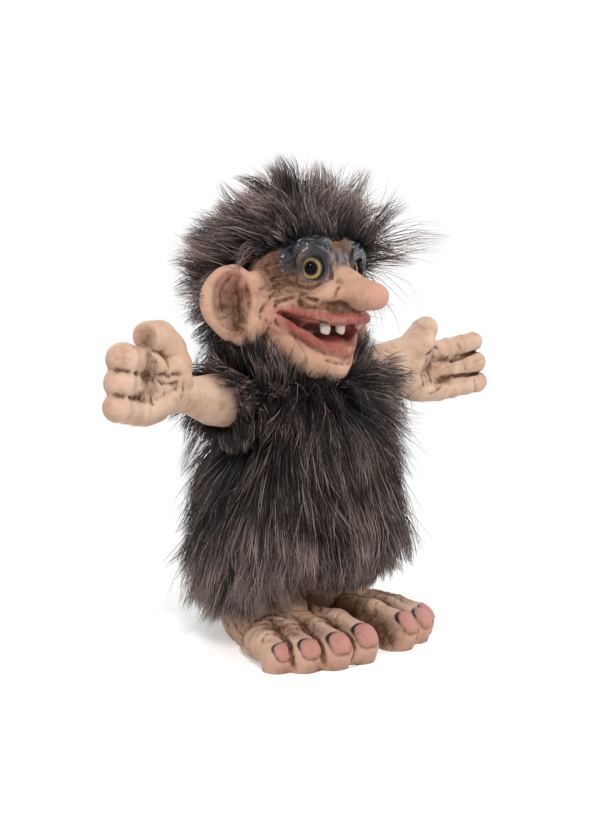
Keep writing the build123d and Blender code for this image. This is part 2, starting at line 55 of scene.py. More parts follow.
class TrollSkin(bpy.types.PropertyGroup):
    """Colours of the painted castings"""
    pale: bpy.props.FloatVectorProperty(name="Pale skin", description="Bare skin on raised places",
                                        subtype="COLOR", size=3, default=(0.72, 0.51, 0.385))
    warm: bpy.props.FloatVectorProperty(name="Warm skin", description="Bare skin in broad patches",
                                        subtype="COLOR", size=3, default=(0.54, 0.32, 0.205))
    ruddy: bpy.props.FloatVectorProperty(name="Ruddy skin", description="Redder tone, mostly on the head",
                                         subtype="COLOR", size=3, default=(0.56, 0.265, 0.165))
    pink: bpy.props.FloatVectorProperty(name="Pink", description="Blush on the nose, cheeks and toes",
                                        subtype="COLOR", size=3, default=(0.60, 0.255, 0.20))
    lip: bpy.props.FloatVectorProperty(name="Lips", description="Paint on the lips",
                                       subtype="COLOR", size=3, default=(0.36, 0.095, 0.08))
    nail: bpy.props.FloatVectorProperty(name="Nails", description="Paint on the toenails",
                                        subtype="COLOR", size=3, default=(0.52, 0.235, 0.195))
    # Also the colour of the painted shade under the nose wings, the toes and the coat's hem
    wash: bpy.props.FloatVectorProperty(name="Brown wash", description="Wash wiped into the creases",
                                        subtype="COLOR", size=3, default=(0.095, 0.04, 0.018))
    mouth: bpy.props.FloatVectorProperty(name="Mouth", description="Inside of the mouth",
                                         subtype="COLOR", size=3, default=(0.40, 0.115, 0.095))
    dark: bpy.props.FloatVectorProperty(name="Brow paint", description="Glossy paint over the brow and lids",
                                        subtype="COLOR", size=3, default=(0.016, 0.018, 0.026))
    grain: bpy.props.FloatProperty(name="Skin grain", description="Voxel size of the castings' skin",
                                   unit="LENGTH", default=0.00061)


class TrollFur(bpy.types.PropertyGroup):
    """Sizes and colours of the coat and the wig"""
    coat_strands: bpy.props.IntProperty(name="Coat strands", description="Strands on the coat", default=30800)
    hair_strands: bpy.props.IntProperty(name="Wig strands", description="Strands on the wig", default=22500)
    coat_length: bpy.props.FloatProperty(name="Coat pile", description="Length of the coat's longest strands",
                                         unit="LENGTH", default=0.040)
    hair_length: bpy.props.FloatProperty(name="Wig pile", description="Length of the wig's strands",
                                         unit="LENGTH", default=0.049)
    strand_radius: bpy.props.FloatProperty(name="Strand radius", description="Radius of a strand at its root",
                                           unit="LENGTH", default=0.00016)
    root: bpy.props.FloatVectorProperty(name="Root", description="Colour at the roots",
                                        subtype="COLOR", size=3, default=(0.010, 0.0092, 0.0095))
    tip: bpy.props.FloatVectorProperty(name="Tip", description="Colour at the tips of the lightest strands",
                                       subtype="COLOR", size=3, default=(0.66, 0.475, 0.42))


class TrollEyes(bpy.types.PropertyGroup):
    """Colours of the glass eyes and the teeth"""
    gold: bpy.props.FloatVectorProperty(name="Iris", description="Gold of the iris",
                                        subtype="COLOR", size=3, default=(0.24, 0.14, 0.02))
    tooth: bpy.props.FloatVectorProperty(name="Teeth", description="Enamel of the teeth",
                                         subtype="COLOR", size=3, default=(0.84, 0.79, 0.70))


# Materials


class Value:
    """A number in a material. Python arithmetic on it adds Math nodes."""

    def __init__(self, finish, socket):
        self.finish = finish
        self.socket = socket

    def _math(self, operation, first, second):
        return self.finish.node("ShaderNodeMath", {"operation": operation}, {0: first, 1: second}).out(0)

    def __add__(self, other):
        return self._math("ADD", self, other)

    def __radd__(self, other):
        return self._math("ADD", other, self)

    def __sub__(self, other):
        return self._math("SUBTRACT", self, other)

    def __rsub__(self, other):
        return self._math("SUBTRACT", other, self)

    def __mul__(self, other):
        return self._math("MULTIPLY", self, other)

    def __rmul__(self, other):
        return self._math("MULTIPLY", other, self)

    def __truediv__(self, other):
        return self._math("DIVIDE", self, other)

    def __pow__(self, other):
        return self._math("POWER", self, other)

    def at_least(self, other):
        """The larger of the two."""
        return self._math("MAXIMUM", self, other)

    def at_most(self, other):
        """The smaller of the two."""
        return self._math("MINIMUM", self, other)

    def over(self, low, high):
        """0 below low, 1 above high, smooth between."""
        smooth = {"interpolation_type": "SMOOTHSTEP"}
        ends = {"Value": self, 1: low, 2: high, 3: 0.0, 4: 1.0}
        return self.finish.node("ShaderNodeMapRange", smooth, ends).out(0)


class Node:
    """One node of a material, with its outputs as values."""

    def __init__(self, finish, node):
        self.finish = finish
        self.node = node

    def out(self, name):
        """One output, by its name or number."""
        return Value(self.finish, self.node.outputs[name])


class Finish:
    """A procedural material under construction."""

    def __init__(self, name):
        self.material = bpy.data.materials.new(name)
        self.material.use_nodes = True
        self.tree = self.material.node_tree
        self.tree.nodes.clear()

    def node(self, kind, settings=None, inputs=None):
        """Adds a node, sets it up, and links or sets its inputs."""
        made = self.tree.nodes.new(kind)
        for key, value in (settings or {}).items():
            setattr(made, key, value)
        for key, value in (inputs or {}).items():
            socket = made.inputs[key]
            if isinstance(value, Value):
                self.tree.links.new(value.socket, socket)
            elif socket.type == "RGBA":
                socket.default_value = (*list(value)[:3], 1.0)
            else:
                socket.default_value = value
        return Node(self, made)

    def place(self):
        """Where a point lies on its piece."""
        return self.node("ShaderNodeTexCoord").out("Object")

    def attribute(self, name):
        """A layer of paint from the piece's points."""
        return self.node("ShaderNodeAttribute", {"attribute_name": name}).out("Fac")

    def noise(self, scale, detail, rough=0.55, where=None):
        """A cloudy pattern from 0 to 1."""
        inputs = {"Vector": where or self.place(), "Scale": scale, "Detail": detail, "Roughness": rough}
        return self.node("ShaderNodeTexNoise", None, inputs).out("Fac")

    def mix(self, share, first, second):
        """One colour blended into another."""
        return self.node("ShaderNodeMix", {"data_type": "RGBA"}, {0: share, 6: first, 7: second}).out(2)

    def bump(self, height, distance, strength):
        """Fine relief from a pattern."""
        inputs = {"Height": height, "Distance": distance, "Strength": strength}
        return self.node("ShaderNodeBump", None, inputs).out("Normal")

    def surface(self, **inputs):
        """Ends the material with one shader."""
        named = {key.replace("_", " "): value for key, value in inputs.items()}
        shader = self.node("ShaderNodeBsdfPrincipled", None, named)
        self.node("ShaderNodeOutputMaterial", None, {"Surface": shader.out(0)})
        return self.material


def skin_finish(name, ruddy):
    """Painted casting: pale skin with blush, brown washes in the creases that also carry painted shade, and
    glossy dark paint with painted sheen patches.
    """
    colours = bpy.context.scene.troll_skin
    f = Finish(name)
    patches = f.noise(75.0, 3.0).over(0.32, 0.66)
    mottle = f.noise(420.0, 4.0, 0.6)
    streak = f.noise(1100.0, 3.0, 0.7)
    smear = f.noise(150.0, 4.0, 0.65).over(0.52, 0.72)
    wander = f.noise(230.0, 1.0, 0.5) - 0.5
    stain_and_shade = f.attribute("wash")
    wrinkle = (wander * wander).over(0.0007, 0.0) * stain_and_shade.over(0.06, 0.5) * (1.0 - f.attribute("pink"))
    wash = stain_and_shade * (0.4 + mottle) + wrinkle * 0.22 + smear * 0.27 + streak.over(0.58, 0.8) * 0.12
    wash = wash.at_most(0.97)
    dark = (f.attribute("dark") * (0.75 + mottle * 0.5)).over(0.08, 0.9)
    lip = (f.attribute("lip") * (0.7 + mottle * 0.6)).at_most(1.0)
    pink = (f.attribute("pink") * (0.6 + mottle * 0.7)).at_most(1.0)
    colour = f.mix(patches * 0.6, colours.pale, colours.warm)
    colour = f.mix(ruddy + mottle * 0.3, colour, colours.ruddy)
    colour = f.mix(pink, colour, colours.pink)
    colour = f.mix(lip, colour, colours.lip)
    colour = f.mix(f.attribute("nail"), colour, colours.nail)
    colour = f.mix(f.attribute("mouth"), colour, colours.mouth)
    # Brown washes, and painted shade under the nose wings, the toes and the coat's hem
    colour = f.mix(wash, colour, colours.wash)
    # Painted sheen: blue-grey patches in the dark brow paint that stand in for the reflection of the lamps
    painted_sheen = f.noise(210.0, 2.0, 0.5).over(0.56, 0.7) * 0.35
    brow = f.mix(painted_sheen, colours.dark, (0.085, 0.10, 0.145))
    colour = f.mix(dark, colour, brow)
    gloss = (dark * 0.2 + f.attribute("mouth") * 0.2 + f.attribute("nail") * 0.12 + lip * 0.12).at_most(0.34)
    relief = f.bump(mottle * 0.6 + streak * 0.4 - wrinkle * 0.8, 0.00025, 0.7)
    return f.surface(Base_Color=colour, Roughness=0.55 - gloss, Normal=relief, Coat_Weight=dark * 0.5,
                     Coat_Roughness=0.08, Specular_IOR_Level=0.2, Subsurface_Weight=0.04,
                     Subsurface_Radius=(1.0, 0.4, 0.25), Subsurface_Scale=0.001)


def fur_finish(name, tint):
    """Fur strand: near-black root to a taupe tip. Its own map gives its shade and the way along it."""
    colours = bpy.context.scene.troll_fur
    f = Finish(name)
    chart = f.node("ShaderNodeUVMap", {"uv_map": STRAND_MAP}).out(0)
    place = f.node("ShaderNodeSeparateXYZ", None, {0: chart})
    light = place.out("Y").over(0.1, 1.0) * place.out("X") ** 1.35
    colour = f.mix(light, colours.root, [c * t for c, t in zip(colours.tip, tint)])
    return f.surface(Base_Color=colour, Roughness=0.42, Specular_IOR_Level=0.32)


def knit_finish(name):
    """Dark knitted backing cloth."""
    f = Finish(name)
    place = f.place()
    rows = f.node("ShaderNodeTexWave", {"wave_type": "BANDS", "bands_direction": "Z"},
                  {"Vector": place, "Scale": 320.0, "Distortion": 1.2, "Detail": 2.0}).out("Fac")
    stitches = f.noise(1500.0, 2.0)
    colour = f.mix(rows * 0.6 + stitches * 0.4, (0.006, 0.006, 0.0065), (0.026, 0.024, 0.023))
    return f.surface(Base_Color=colour, Roughness=0.9, Normal=f.bump(rows, 0.0003, 0.6))


def wood_finish(name, light, deep):
    """Turned wood with rings along the grain."""
    f = Finish(name)
    place = f.node("ShaderNodeMapping", None, {"Vector": f.place(), "Scale": (1.0, 1.0, 0.12)}).out(0)
    grain = f.noise(260.0, 5.0, 0.65, place)
    rings = f.node("ShaderNodeTexWave", {"wave_type": "RINGS", "rings_direction": "Z"},
                   {"Vector": place, "Scale": 90.0, "Distortion": 3.0, "Detail": 3.0}).out("Fac")
    colour = f.mix(grain * 0.5 + rings * 0.5, light, deep)
    return f.surface(Base_Color=colour, Roughness=0.55 + grain * 0.2, Normal=f.bump(grain, 0.0002, 0.5))


def plastic_finish(name, colour):
    """Moulded plastic with a fine grain."""
    f = Finish(name)
    grain = f.noise(1800.0, 2.0)
    shade = f.mix(grain * 0.25, colour, [c * 0.8 for c in colour])
    return f.surface(Base_Color=shade, Roughness=0.4 + grain * 0.2, Normal=f.bump(grain, 0.00005, 0.5))


def tooth_finish(name):
    """Off-white enamel, yellower and dirtier towards the gum."""
    f = Finish(name)
    spots = f.noise(700.0, 3.0)
    root = f.attribute("wash")
    colour = f.mix(spots * 0.35, bpy.context.scene.troll_eyes.tooth, (0.62, 0.50, 0.36))
    colour = f.mix(root, colour, (0.16, 0.06, 0.04))
    return f.surface(Base_Color=colour, Roughness=0.25 + spots * 0.2, Normal=f.bump(spots, 0.0002, 0.5))


def glass_finish(name):
    """Clear polished glass with the faintest ripple."""
    f = Finish(name)
    ripple = f.noise(90.0, 1.0)
    return f.surface(Base_Color=(1.0, 1.0, 1.0), Roughness=0.02 + ripple * 0.01, IOR=1.12,
                     Transmission_Weight=1.0)


def iris_finish(name, centre, radius):
    """Gold iris: flecks, a brown ring round the pupil and a dark outer rim, about the eye's centre. It glows
    faintly, a painted light that stands in for the light reaching it through the glass.
    """
    f = Finish(name)
    offset = f.node("ShaderNodeVectorMath", {"operation": "SUBTRACT"}, {0: f.place(), 1: centre}).out(0)
    reach = f.node("ShaderNodeVectorMath", {"operation": "LENGTH"}, {0: offset}).out("Value") / radius
    flecks = f.noise(1600.0, 2.0, 0.7).over(0.35, 0.7)
    gold = bpy.context.scene.troll_eyes.gold
    colour = f.mix(flecks * 0.7, gold, (0.62, 0.46, 0.14))
    colour = f.mix(reach.over(0.72, 0.56), colour, (0.07, 0.035, 0.008))
    colour = f.mix(reach.over(0.76, 0.92), colour, (0.010, 0.009, 0.006))
    # The faint emission is painted light: the iris glows in place of the light that reaches it through the
    # glass
    return f.surface(Base_Color=colour, Roughness=0.35 - flecks * 0.1, Emission_Color=colour,
                     Emission_Strength=0.1)


def black_finish(name):
    """Dull black paint behind the glass, with a hint of brown in it."""
    f = Finish(name)
    depth = f.noise(500.0, 2.0)
    return f.surface(Base_Color=f.mix(depth * 0.5, (0.004, 0.004, 0.004), (0.012, 0.008, 0.005)),
                     Roughness=0.8 - depth * 0.1, Specular_IOR_Level=0.02)


# Clay: lumps are fused into one skin, then pressed, raised and painted


def select_nothing():
    """Leaves edit mode and deselects everything, the CAD nodes too."""
    if bpy.context.object and bpy.context.object.mode != "OBJECT":
        bpy.ops.object.mode_set(mode="OBJECT")
    bpy.ops.object.select_all(action="DESELECT")


def select_only(piece, *others):
    """Selects these pieces and makes the first one active."""
    select_nothing()
    for one in (piece, *others):
        one.select_set(True)
    bpy.context.view_layer.objects.active = piece


def apply_modifier(piece, kind, **settings):
    """Adds a modifier to a piece and applies it at once."""
    select_only(piece)
    modifier = piece.modifiers.new(kind.title(), kind)
    for key, value in settings.items():
        setattr(modifier, key, value)
    bpy.ops.object.modifier_apply(modifier=modifier.name)


def mesh_points(mesh):
    """A mesh's points, in metres."""
    flat = np.empty(len(mesh.vertices) * 3, np.float32)
    mesh.vertices.foreach_get("co", flat)
    return flat.reshape(-1, 3).astype(float)


def delete_points(piece, chosen):
    """Deletes the chosen points of a piece with their faces."""
    select_only(piece)
    bpy.ops.object.mode_set(mode="EDIT")
    bpy.ops.mesh.select_mode(type="VERT")
    bpy.ops.mesh.select_all(action="DESELECT")
    bpy.ops.object.mode_set(mode="OBJECT")
    piece.data.vertices.foreach_set("select", chosen)
    bpy.ops.object.mode_set(mode="EDIT")
    bpy.ops.mesh.delete(type="VERT")
    bpy.ops.object.mode_set(mode="OBJECT")


def smooth_path(points, step):
    """Points along a smooth curve through the given ones."""
    p = np.asarray(points, float)
    if len(p) < 3:
        count = max(2, int(np.linalg.norm(p[-1] - p[0]) / step) + 1)
        return p[0] + (p[-1] - p[0]) * np.linspace(0, 1, count)[:, None]
    padded = np.vstack([2 * p[0] - p[1], p, 2 * p[-1] - p[-2]])
    runs = []
    for a, b, c, d in zip(padded, padded[1:], padded[2:], padded[3:]):
        count = max(2, int(np.linalg.norm(c - b) / step) + 1)
        t = np.linspace(0, 1, count, endpoint=False)[:, None]
        runs.append(0.5 * (2 * b + (c - a) * t + (2 * a - 5 * b + 4 * c - d) * t ** 2
                           + (3 * b - a - 3 * c + d) * t ** 3))
    return np.vstack([*runs, p[-1:]])


class Clay:
    """Lumps that are fused into one casting."""

    def __init__(self, name):
        self.name = name
        self.lumps = []
        select_nothing()

    def _keep(self, centre, turn, scale):
        """Puts the newest lump in its place."""
        lump = bpy.context.object
        lump.location = [c * MM for c in centre]
        lump.rotation_euler = turn
        lump.scale = [s * MM for s in scale]
        bpy.ops.object.transform_apply(location=True, rotation=True, scale=True)
        self.lumps.append(lump)

    def lump(self, centre, radii, turn=(0, 0, 0), detail=4):
        """An egg-shaped lump, turned by degrees about X, Y and Z."""
        radii = (radii,) * 3 if np.isscalar(radii) else radii
        bpy.ops.mesh.primitive_ico_sphere_add(subdivisions=detail, radius=1.0)
        self._keep(centre, Euler([math.radians(a) for a in turn]), radii)

    def limb(self, start, end, start_radius, end_radius):
        """A round limb between two places, with round ends."""
        line = Vector(end) - Vector(start)
        bpy.ops.mesh.primitive_cone_add(vertices=40, radius1=start_radius, radius2=end_radius,
                                        depth=line.length)
        self._keep((Vector(start) + Vector(end)) / 2, line.to_track_quat("Z", "Y").to_euler(), (1, 1, 1))
        self.lump(start, start_radius)
        self.lump(end, end_radius)

    def roll(self, points, radii):
        """A rolled string of clay along a smooth path. Its radii are spread evenly over its length."""
        path = smooth_path(points, max(min(radii) * 0.7, 0.5))
        sizes = np.interp(np.linspace(0, 1, len(path)), np.linspace(0, 1, len(radii)), radii)
        for place, size in zip(path, sizes):
            self.lump(place, size, detail=3)

    def fuse(self, voxel, smooth):
        """One closed skin from all the lumps."""
        select_only(*self.lumps)
        bpy.ops.object.join()
        piece = bpy.context.object
        piece.name = self.name
        piece.data.name = self.name
        apply_modifier(piece, "REMESH", mode="VOXEL", voxel_size=voxel)
        if smooth:
            apply_modifier(piece, "SMOOTH", factor=0.5, iterations=smooth)
        self.lumps = [piece]
        return piece

    def carve(self, cutter):
        """Takes another fused casting out of this one."""
        piece = self.lumps[0]
        apply_modifier(piece, "BOOLEAN", operation="DIFFERENCE", object=cutter, solver="EXACT")
        bpy.data.objects.remove(cutter)


# The first layer holds the brown washes of the paint and also painted shade: in the hollow under each nose
# wing, along the bottom of the toes and below the coat's hem
LAYERS = ("wash", "pink", "lip", "nail", "mouth", "dark")
# How high a crease's edges are raised beside its depth
CREASE_EDGE = 0.3


class Skin:
    """The surface of a fused casting: strokes press or raise it, and paint goes on its points."""

    def __init__(self, piece):
        self.piece = piece
        self.read()
        self.paint = {layer: np.zeros(len(self.points)) for layer in LAYERS}
        edges = np.empty(len(piece.data.edges) * 2, np.int64)
        piece.data.edges.foreach_get("vertices", edges)
        self.edges = edges.reshape(-1, 2)

    def read(self):
        """Takes the points and directions from the mesh."""
        mesh = self.piece.data
        self.points = mesh_points(mesh) / MM
        flat = np.empty(len(mesh.vertices) * 3, np.float32)
        mesh.vertex_normals.foreach_get("vector", flat)
        self.normals = flat.reshape(-1, 3).astype(float)
        bpy.context.view_layer.update()
        self.tree = BVHTree.FromObject(self.piece, bpy.context.evaluated_depsgraph_get())

    def write(self):
        """Puts the moved points back into the mesh."""
        mesh = self.piece.data
        mesh.vertices.foreach_set("co", (self.points * MM).astype(np.float32).ravel())
        mesh.update()
        self.read()

    def on(self, path):
        """The nearest places on the skin."""
        return np.array([self.tree.find_nearest(Vector(p) * MM)[0] for p in path]) / MM

    def near(self, path, reach):
        """Points within reach of a path, how far they are from it, and how far along it."""
        inside = np.all((self.points > path.min(0) - reach) & (self.points < path.max(0) + reach), axis=1)
        found = np.nonzero(inside)[0]
        away = np.full(len(found), np.inf)
        along = np.zeros(len(found))
        for index, place in enumerate(path):
            distance = ((self.points[found] - place) ** 2).sum(1)
            along = np.where(distance < away, index / (len(path) - 1), along)
            away = np.minimum(away, distance)
        away = np.sqrt(away)
        close = away < reach
        return found[close], away[close], along[close]

    def crease(self, points, width, depth, wash):
        """Presses a groove with raised edges along a stroke, fading at its ends, and runs wash into it."""
        path = self.on(smooth_path(points, 0.45))
        found, away, along = self.near(path, width * 4)
        uneven = 0.8 + 0.2 * np.sin(along * 17 + path[0, 2])
        fade = np.clip(np.sin(np.pi * along) * 1.8 + 0.15, 0, 1) * uneven
        groove = np.exp(-(away / width) ** 2)
        raised = np.exp(-((away - 2 * width) / width) ** 2)
        self.points[found] += self.normals[found] * (depth * fade * (CREASE_EDGE * raised - groove))[:, None]
        spread = 0.5 * np.exp(-(away / (width * 1.1)) ** 2) + 0.32 * np.exp(-(away / (width * 2.6)) ** 2)
        self.tint("wash", found, wash * fade * spread)

    def press(self, centre, radius, depth):
        """Presses a soft hollow."""
        away = np.linalg.norm((self.points - np.asarray(centre)) / np.asarray(radius), axis=1)
        self.points -= self.normals * (depth * np.exp(-(away * 1.5) ** 2))[:, None]

    def tint(self, layer, found, amount):
        """Lays paint over what is already there."""
        self.paint[layer][found] = 1 - (1 - self.paint[layer][found]) * (1 - np.clip(amount, 0, 1))

    def dab(self, layer, centre, radius, strength, soft):
        """A soft round dab of paint."""
        away = np.linalg.norm((self.points - np.asarray(centre)) / np.asarray(radius), axis=1)
        found = np.nonzero(away < 1.0)[0]
        self.tint(layer, found, strength * np.clip((1.0 - away[found]) / soft, 0, 1))

    def brush(self, layer, points, width, strength):
        """A soft brush stroke of paint along a path on the skin."""
        path = self.on(smooth_path(points, 0.6))
        found, away, _ = self.near(path, width * 2)
        self.tint(layer, found, strength * np.exp(-(away / width) ** 2))

    def hollows(self, rounds):
        """How deep each point lies below its surroundings: above 0 in hollows, below 0 on ridges."""
        a, b = self.edges.T
        count = len(self.points)
        links = np.bincount(a, minlength=count) + np.bincount(b, minlength=count)
        level = self.points.copy()
        for _ in range(rounds):
            total = np.empty_like(level)
            for axis in range(3):
                onward = np.bincount(a, level[b, axis], count)
                total[:, axis] = onward + np.bincount(b, level[a, axis], count)
            level = 0.4 * level + 0.6 * total / links[:, None]
        return ((level - self.points) * self.normals).sum(1)

    def finish(self, material):
        """Writes the paint, with a wash in every hollow, and gives the casting its material."""
        self.write()
        fine = self.hollows(6)
        broad = self.hollows(40)
        pooled = np.clip(fine * 3.2 - 0.05, 0, 0.55) + np.clip(broad * 0.9 - 0.10, 0, 0.65)
        self.tint("wash", np.arange(len(pooled)), np.clip(pooled, 0, 0.9))
        mesh = self.piece.data
        for layer, values in self.paint.items():
            attribute = mesh.attributes.new(layer, "FLOAT", "POINT")
            attribute.data.foreach_set("value", values.astype(np.float32))
        for polygon in mesh.polygons:
            polygon.use_smooth = True
        mesh.materials.clear()
        mesh.materials.append(material)
        return self.piece


def mirrored(points):
    """The same places on the other side of the figure."""
    return [(-p[0], *p[1:]) for p in points]


def both(stroke, points, *how):
    """The same stroke on both sides."""
    stroke(points, *how)
    stroke(mirrored(points), *how)


# Head


SKULL = np.array([0.0, 7.0, 149.5])
SKULL_RADIUS = 29.0
EYE = (13.5, -15.5, 155.0)
SOCKET_TURN = math.radians(18.0)
EYE_GAZE = (math.sin(SOCKET_TURN), -math.cos(SOCKET_TURN), 0.0)
EYE_RADIUS = 5.0
EYE_CLEARANCE = 0.06
IRIS_RADIUS = 4.5
PUPIL_RADIUS = 2.4
# Degrees that each eye looks to the figure's left
EYE_TURN = {"right": -30.0, "left": 8.0}


def eye_ring(side, radius, forward, start, sweep):
    """Places round an eye, on a circle about its gaze."""
    gaze = Vector((side * EYE_GAZE[0], EYE_GAZE[1], EYE_GAZE[2]))
    across = gaze.cross(Vector((0, 0, 1))).normalized()
    up = across.cross(gaze)
    centre = Vector((side * EYE[0], EYE[1], EYE[2])) + gaze * forward
    angles = [math.radians(start + sweep * i / 10) for i in range(11)]
    return [tuple(centre + (across * math.cos(a) + up * math.sin(a)) * radius) for a in angles]


def arch(half):
    """A whole line across the face from its right half, which ends on the middle."""
    return half + mirrored(half[-2::-1])


UPPER_LIP = arch([(-26.0, -8.0, 139.4), (-21.5, -13.5, 138.0), (-16.0, -20.0, 136.4), (-9.5, -26.2, 135.5),
                  (0, -30.2, 135.2)])
LOWER_LIP = arch([(-25.0, -8.5, 136.0), (-19.5, -12.5, 130.8), (-10.5, -18.5, 124.4), (0, -22.8, 121.2)])
GUM = arch([(-15, -13.5, 135.2), (-8, -18.6, 134.4), (0, -20.6, 134.0)])
GRIN = arch([(-26.0, -9, 137.6), (-19.5, -14, 134.6), (-11, -21, 130.8), (0, -26, 128.4)])
# Half the grin's height, evenly from corner to corner
GRIN_HEIGHTS = (0.3, 1.3, 4.2, 6.0, 4.2, 1.3, 0.3)


def mouth_cutter():
    """The open grin's hollow, from corner to corner and back to the throat."""
    clay = Clay("mouth_cutter")
    path = smooth_path(GRIN, 2.0)
    spread = np.linspace(0, 1, len(GRIN_HEIGHTS))
    sizes = np.interp(np.linspace(0, 1, len(path)), spread, GRIN_HEIGHTS)
    for place, size in zip(path, sizes):
        clay.lump(place, (3.4, 7.5, size))
    clay.lump((0, -14, 129.5), (14, 10, 5.0))
    return clay.fuse(0.0009, 4)


def head_form(voxel):
    """The head's clay: skull, brow, cheeks, muzzle, nose, ears, and a grin cut into it."""
    clay = Clay("troll_head")
    clay.lump(SKULL, SKULL_RADIUS, detail=5)
    clay.limb((0, 0, 107.6 + 14), (0, 2, 140), 14, 14)
    clay.lump((0, 0, 114.6), (13.5, 13.5, 7))
    clay.lump((0, -14.0, 134.5), (19.5, 16.0, 9.5), detail=5)
    clay.lump((0, -11.5, 124), (13, 10, 9.0))
    clay.lump((0, -14.0, 119), (10.5, 9.6, 9.0))
    clay.lump((0, -17.5, 115.2), (7.0, 6.4, 6.0))
    for _, s in SIDES:
        clay.lump((s * 10.5, -13.0, 163.0), (11.0, 7.6, 6.4), (0, s * 12, 0))
        clay.lump((s * 13.5, -12.5, 154.5), (9.0, 6.0, 8.0), (0, 0, s * 18))
        clay.limb((s * 14, -12.5, 146.0), (s * 26, -2.5, 143.8), 6.0, 7.0)
        clay.lump((s * 19.5, -5.0, 137.5), (9.0, 9.5, 11.0), (0, 0, s * 30))
        clay.limb((s * 19, -1, 130), (s * 6, -12.0, 118.5), 9.6, 8.6)
        clay.limb((s * 8.0, -22.0, 144.6), (s * 12.5, -15.0, 146.0), 5.4, 5.2)
        clay.limb((s * 24, 0, 141), (s * 33, 0, 139), 9.5, 6.0)
        clay.limb((s * 26, -2.0, 150), (s * 33, -3.0, 149.5), 6.0, 4.2)
        clay.limb((s * 26, -4.0, 134), (s * 33, -4.0, 133), 6.5, 4.4)
        clay.limb((s * 29.5, -4.0, 146), (s * 29.0, -5.0, 136), 5.2, 5.6)
        clay.lump((s * 40.7, 1.9, 140.9), (10.8, 4.2, 15.5), (0, 0, s * 45))
        clay.lump((s * 36.5, -1.2, 129.0), (6.5, 4.2, 6.0), (0, 0, s * 45))
    clay.limb((0, -15.0, 152.5), (0, -25, 148.2), 6.6, 6.6)
    clay.lump((0, -30.5, 145.0), (9.4, 12.0, 6.6), (6, 0, 0), detail=5)
    clay.lump((0, -37.0, 144.2), (7.6, 5.8, 5.8))
    clay.fuse(0.0011, 5)
    scoops = Clay("scoops")
    for _, s in SIDES:
        scoops.lump((s * 43.6, -0.6, 141.6), (8.4, 4.9, 12.6), (0, 0, s * 45))
        scoops.lump((s * 41.4, -1.6, 136.0), (2.4, 5.4, 7.0), (0, 0, s * 45))
    clay.carve(scoops.fuse(0.0009, 3))
    clay.carve(mouth_cutter())
    for _, s in SIDES:
        rim = [(36.5, -0.5, 153.0), (43.5, 4.6, 153.0), (48.2, 8.6, 145), (47.6, 8.2, 136),
               (42.0, 3.4, 127.5)]
        fold = [(37.9, -3.4, 152), (39.2, -1.4, 147), (38.3, -2.2, 138), (39.5, -1.6, 130)]
        clay.roll([(s * x, y, z) for x, y, z in rim], [1.3, 2.1, 2.4, 2.2, 1.9])
        clay.roll([(s * x, y, z) for x, y, z in fold], [1.0, 1.7, 1.7, 1.2])
        clay.roll(eye_ring(s, 6.45, 1.3, 0, 360), [1.25] * 11)
        clay.roll(eye_ring(s, 7.5, 1.7, 10, 160), [1.2, 2.2, 2.9, 2.5, 1.4])
        clay.roll(eye_ring(s, 7.6, 0.4, 190, 160), [1.0, 1.7, 1.7, 1.7, 1.0])
    clay.lump((0, -12.5, 123.6), (12.5, 9.5, 4.6), (8, 0, 0))
    clay.roll(GUM, [1.6, 2.0, 2.2, 2.0, 1.6])
    clay.roll(UPPER_LIP, [1.2, 1.7, 2.0, 2.3, 2.5, 2.3, 2.0, 1.7, 1.2])
    clay.roll(LOWER_LIP, [1.2, 1.7, 2.0, 2.4, 2.0, 1.7, 1.2])
    head = clay.fuse(voxel, 3)
    pockets = Clay("pockets")
    socket = EYE_RADIUS + EYE_CLEARANCE
    for _, s in SIDES:
        gaze = Vector((s * EYE_GAZE[0], EYE_GAZE[1], 0))
        centre = Vector((s * EYE[0], EYE[1], EYE[2]))
        pockets.limb(centre - gaze, centre + gaze * 9, socket, socket)
    clay.carve(pockets.fuse(0.0006, 0))
    return head


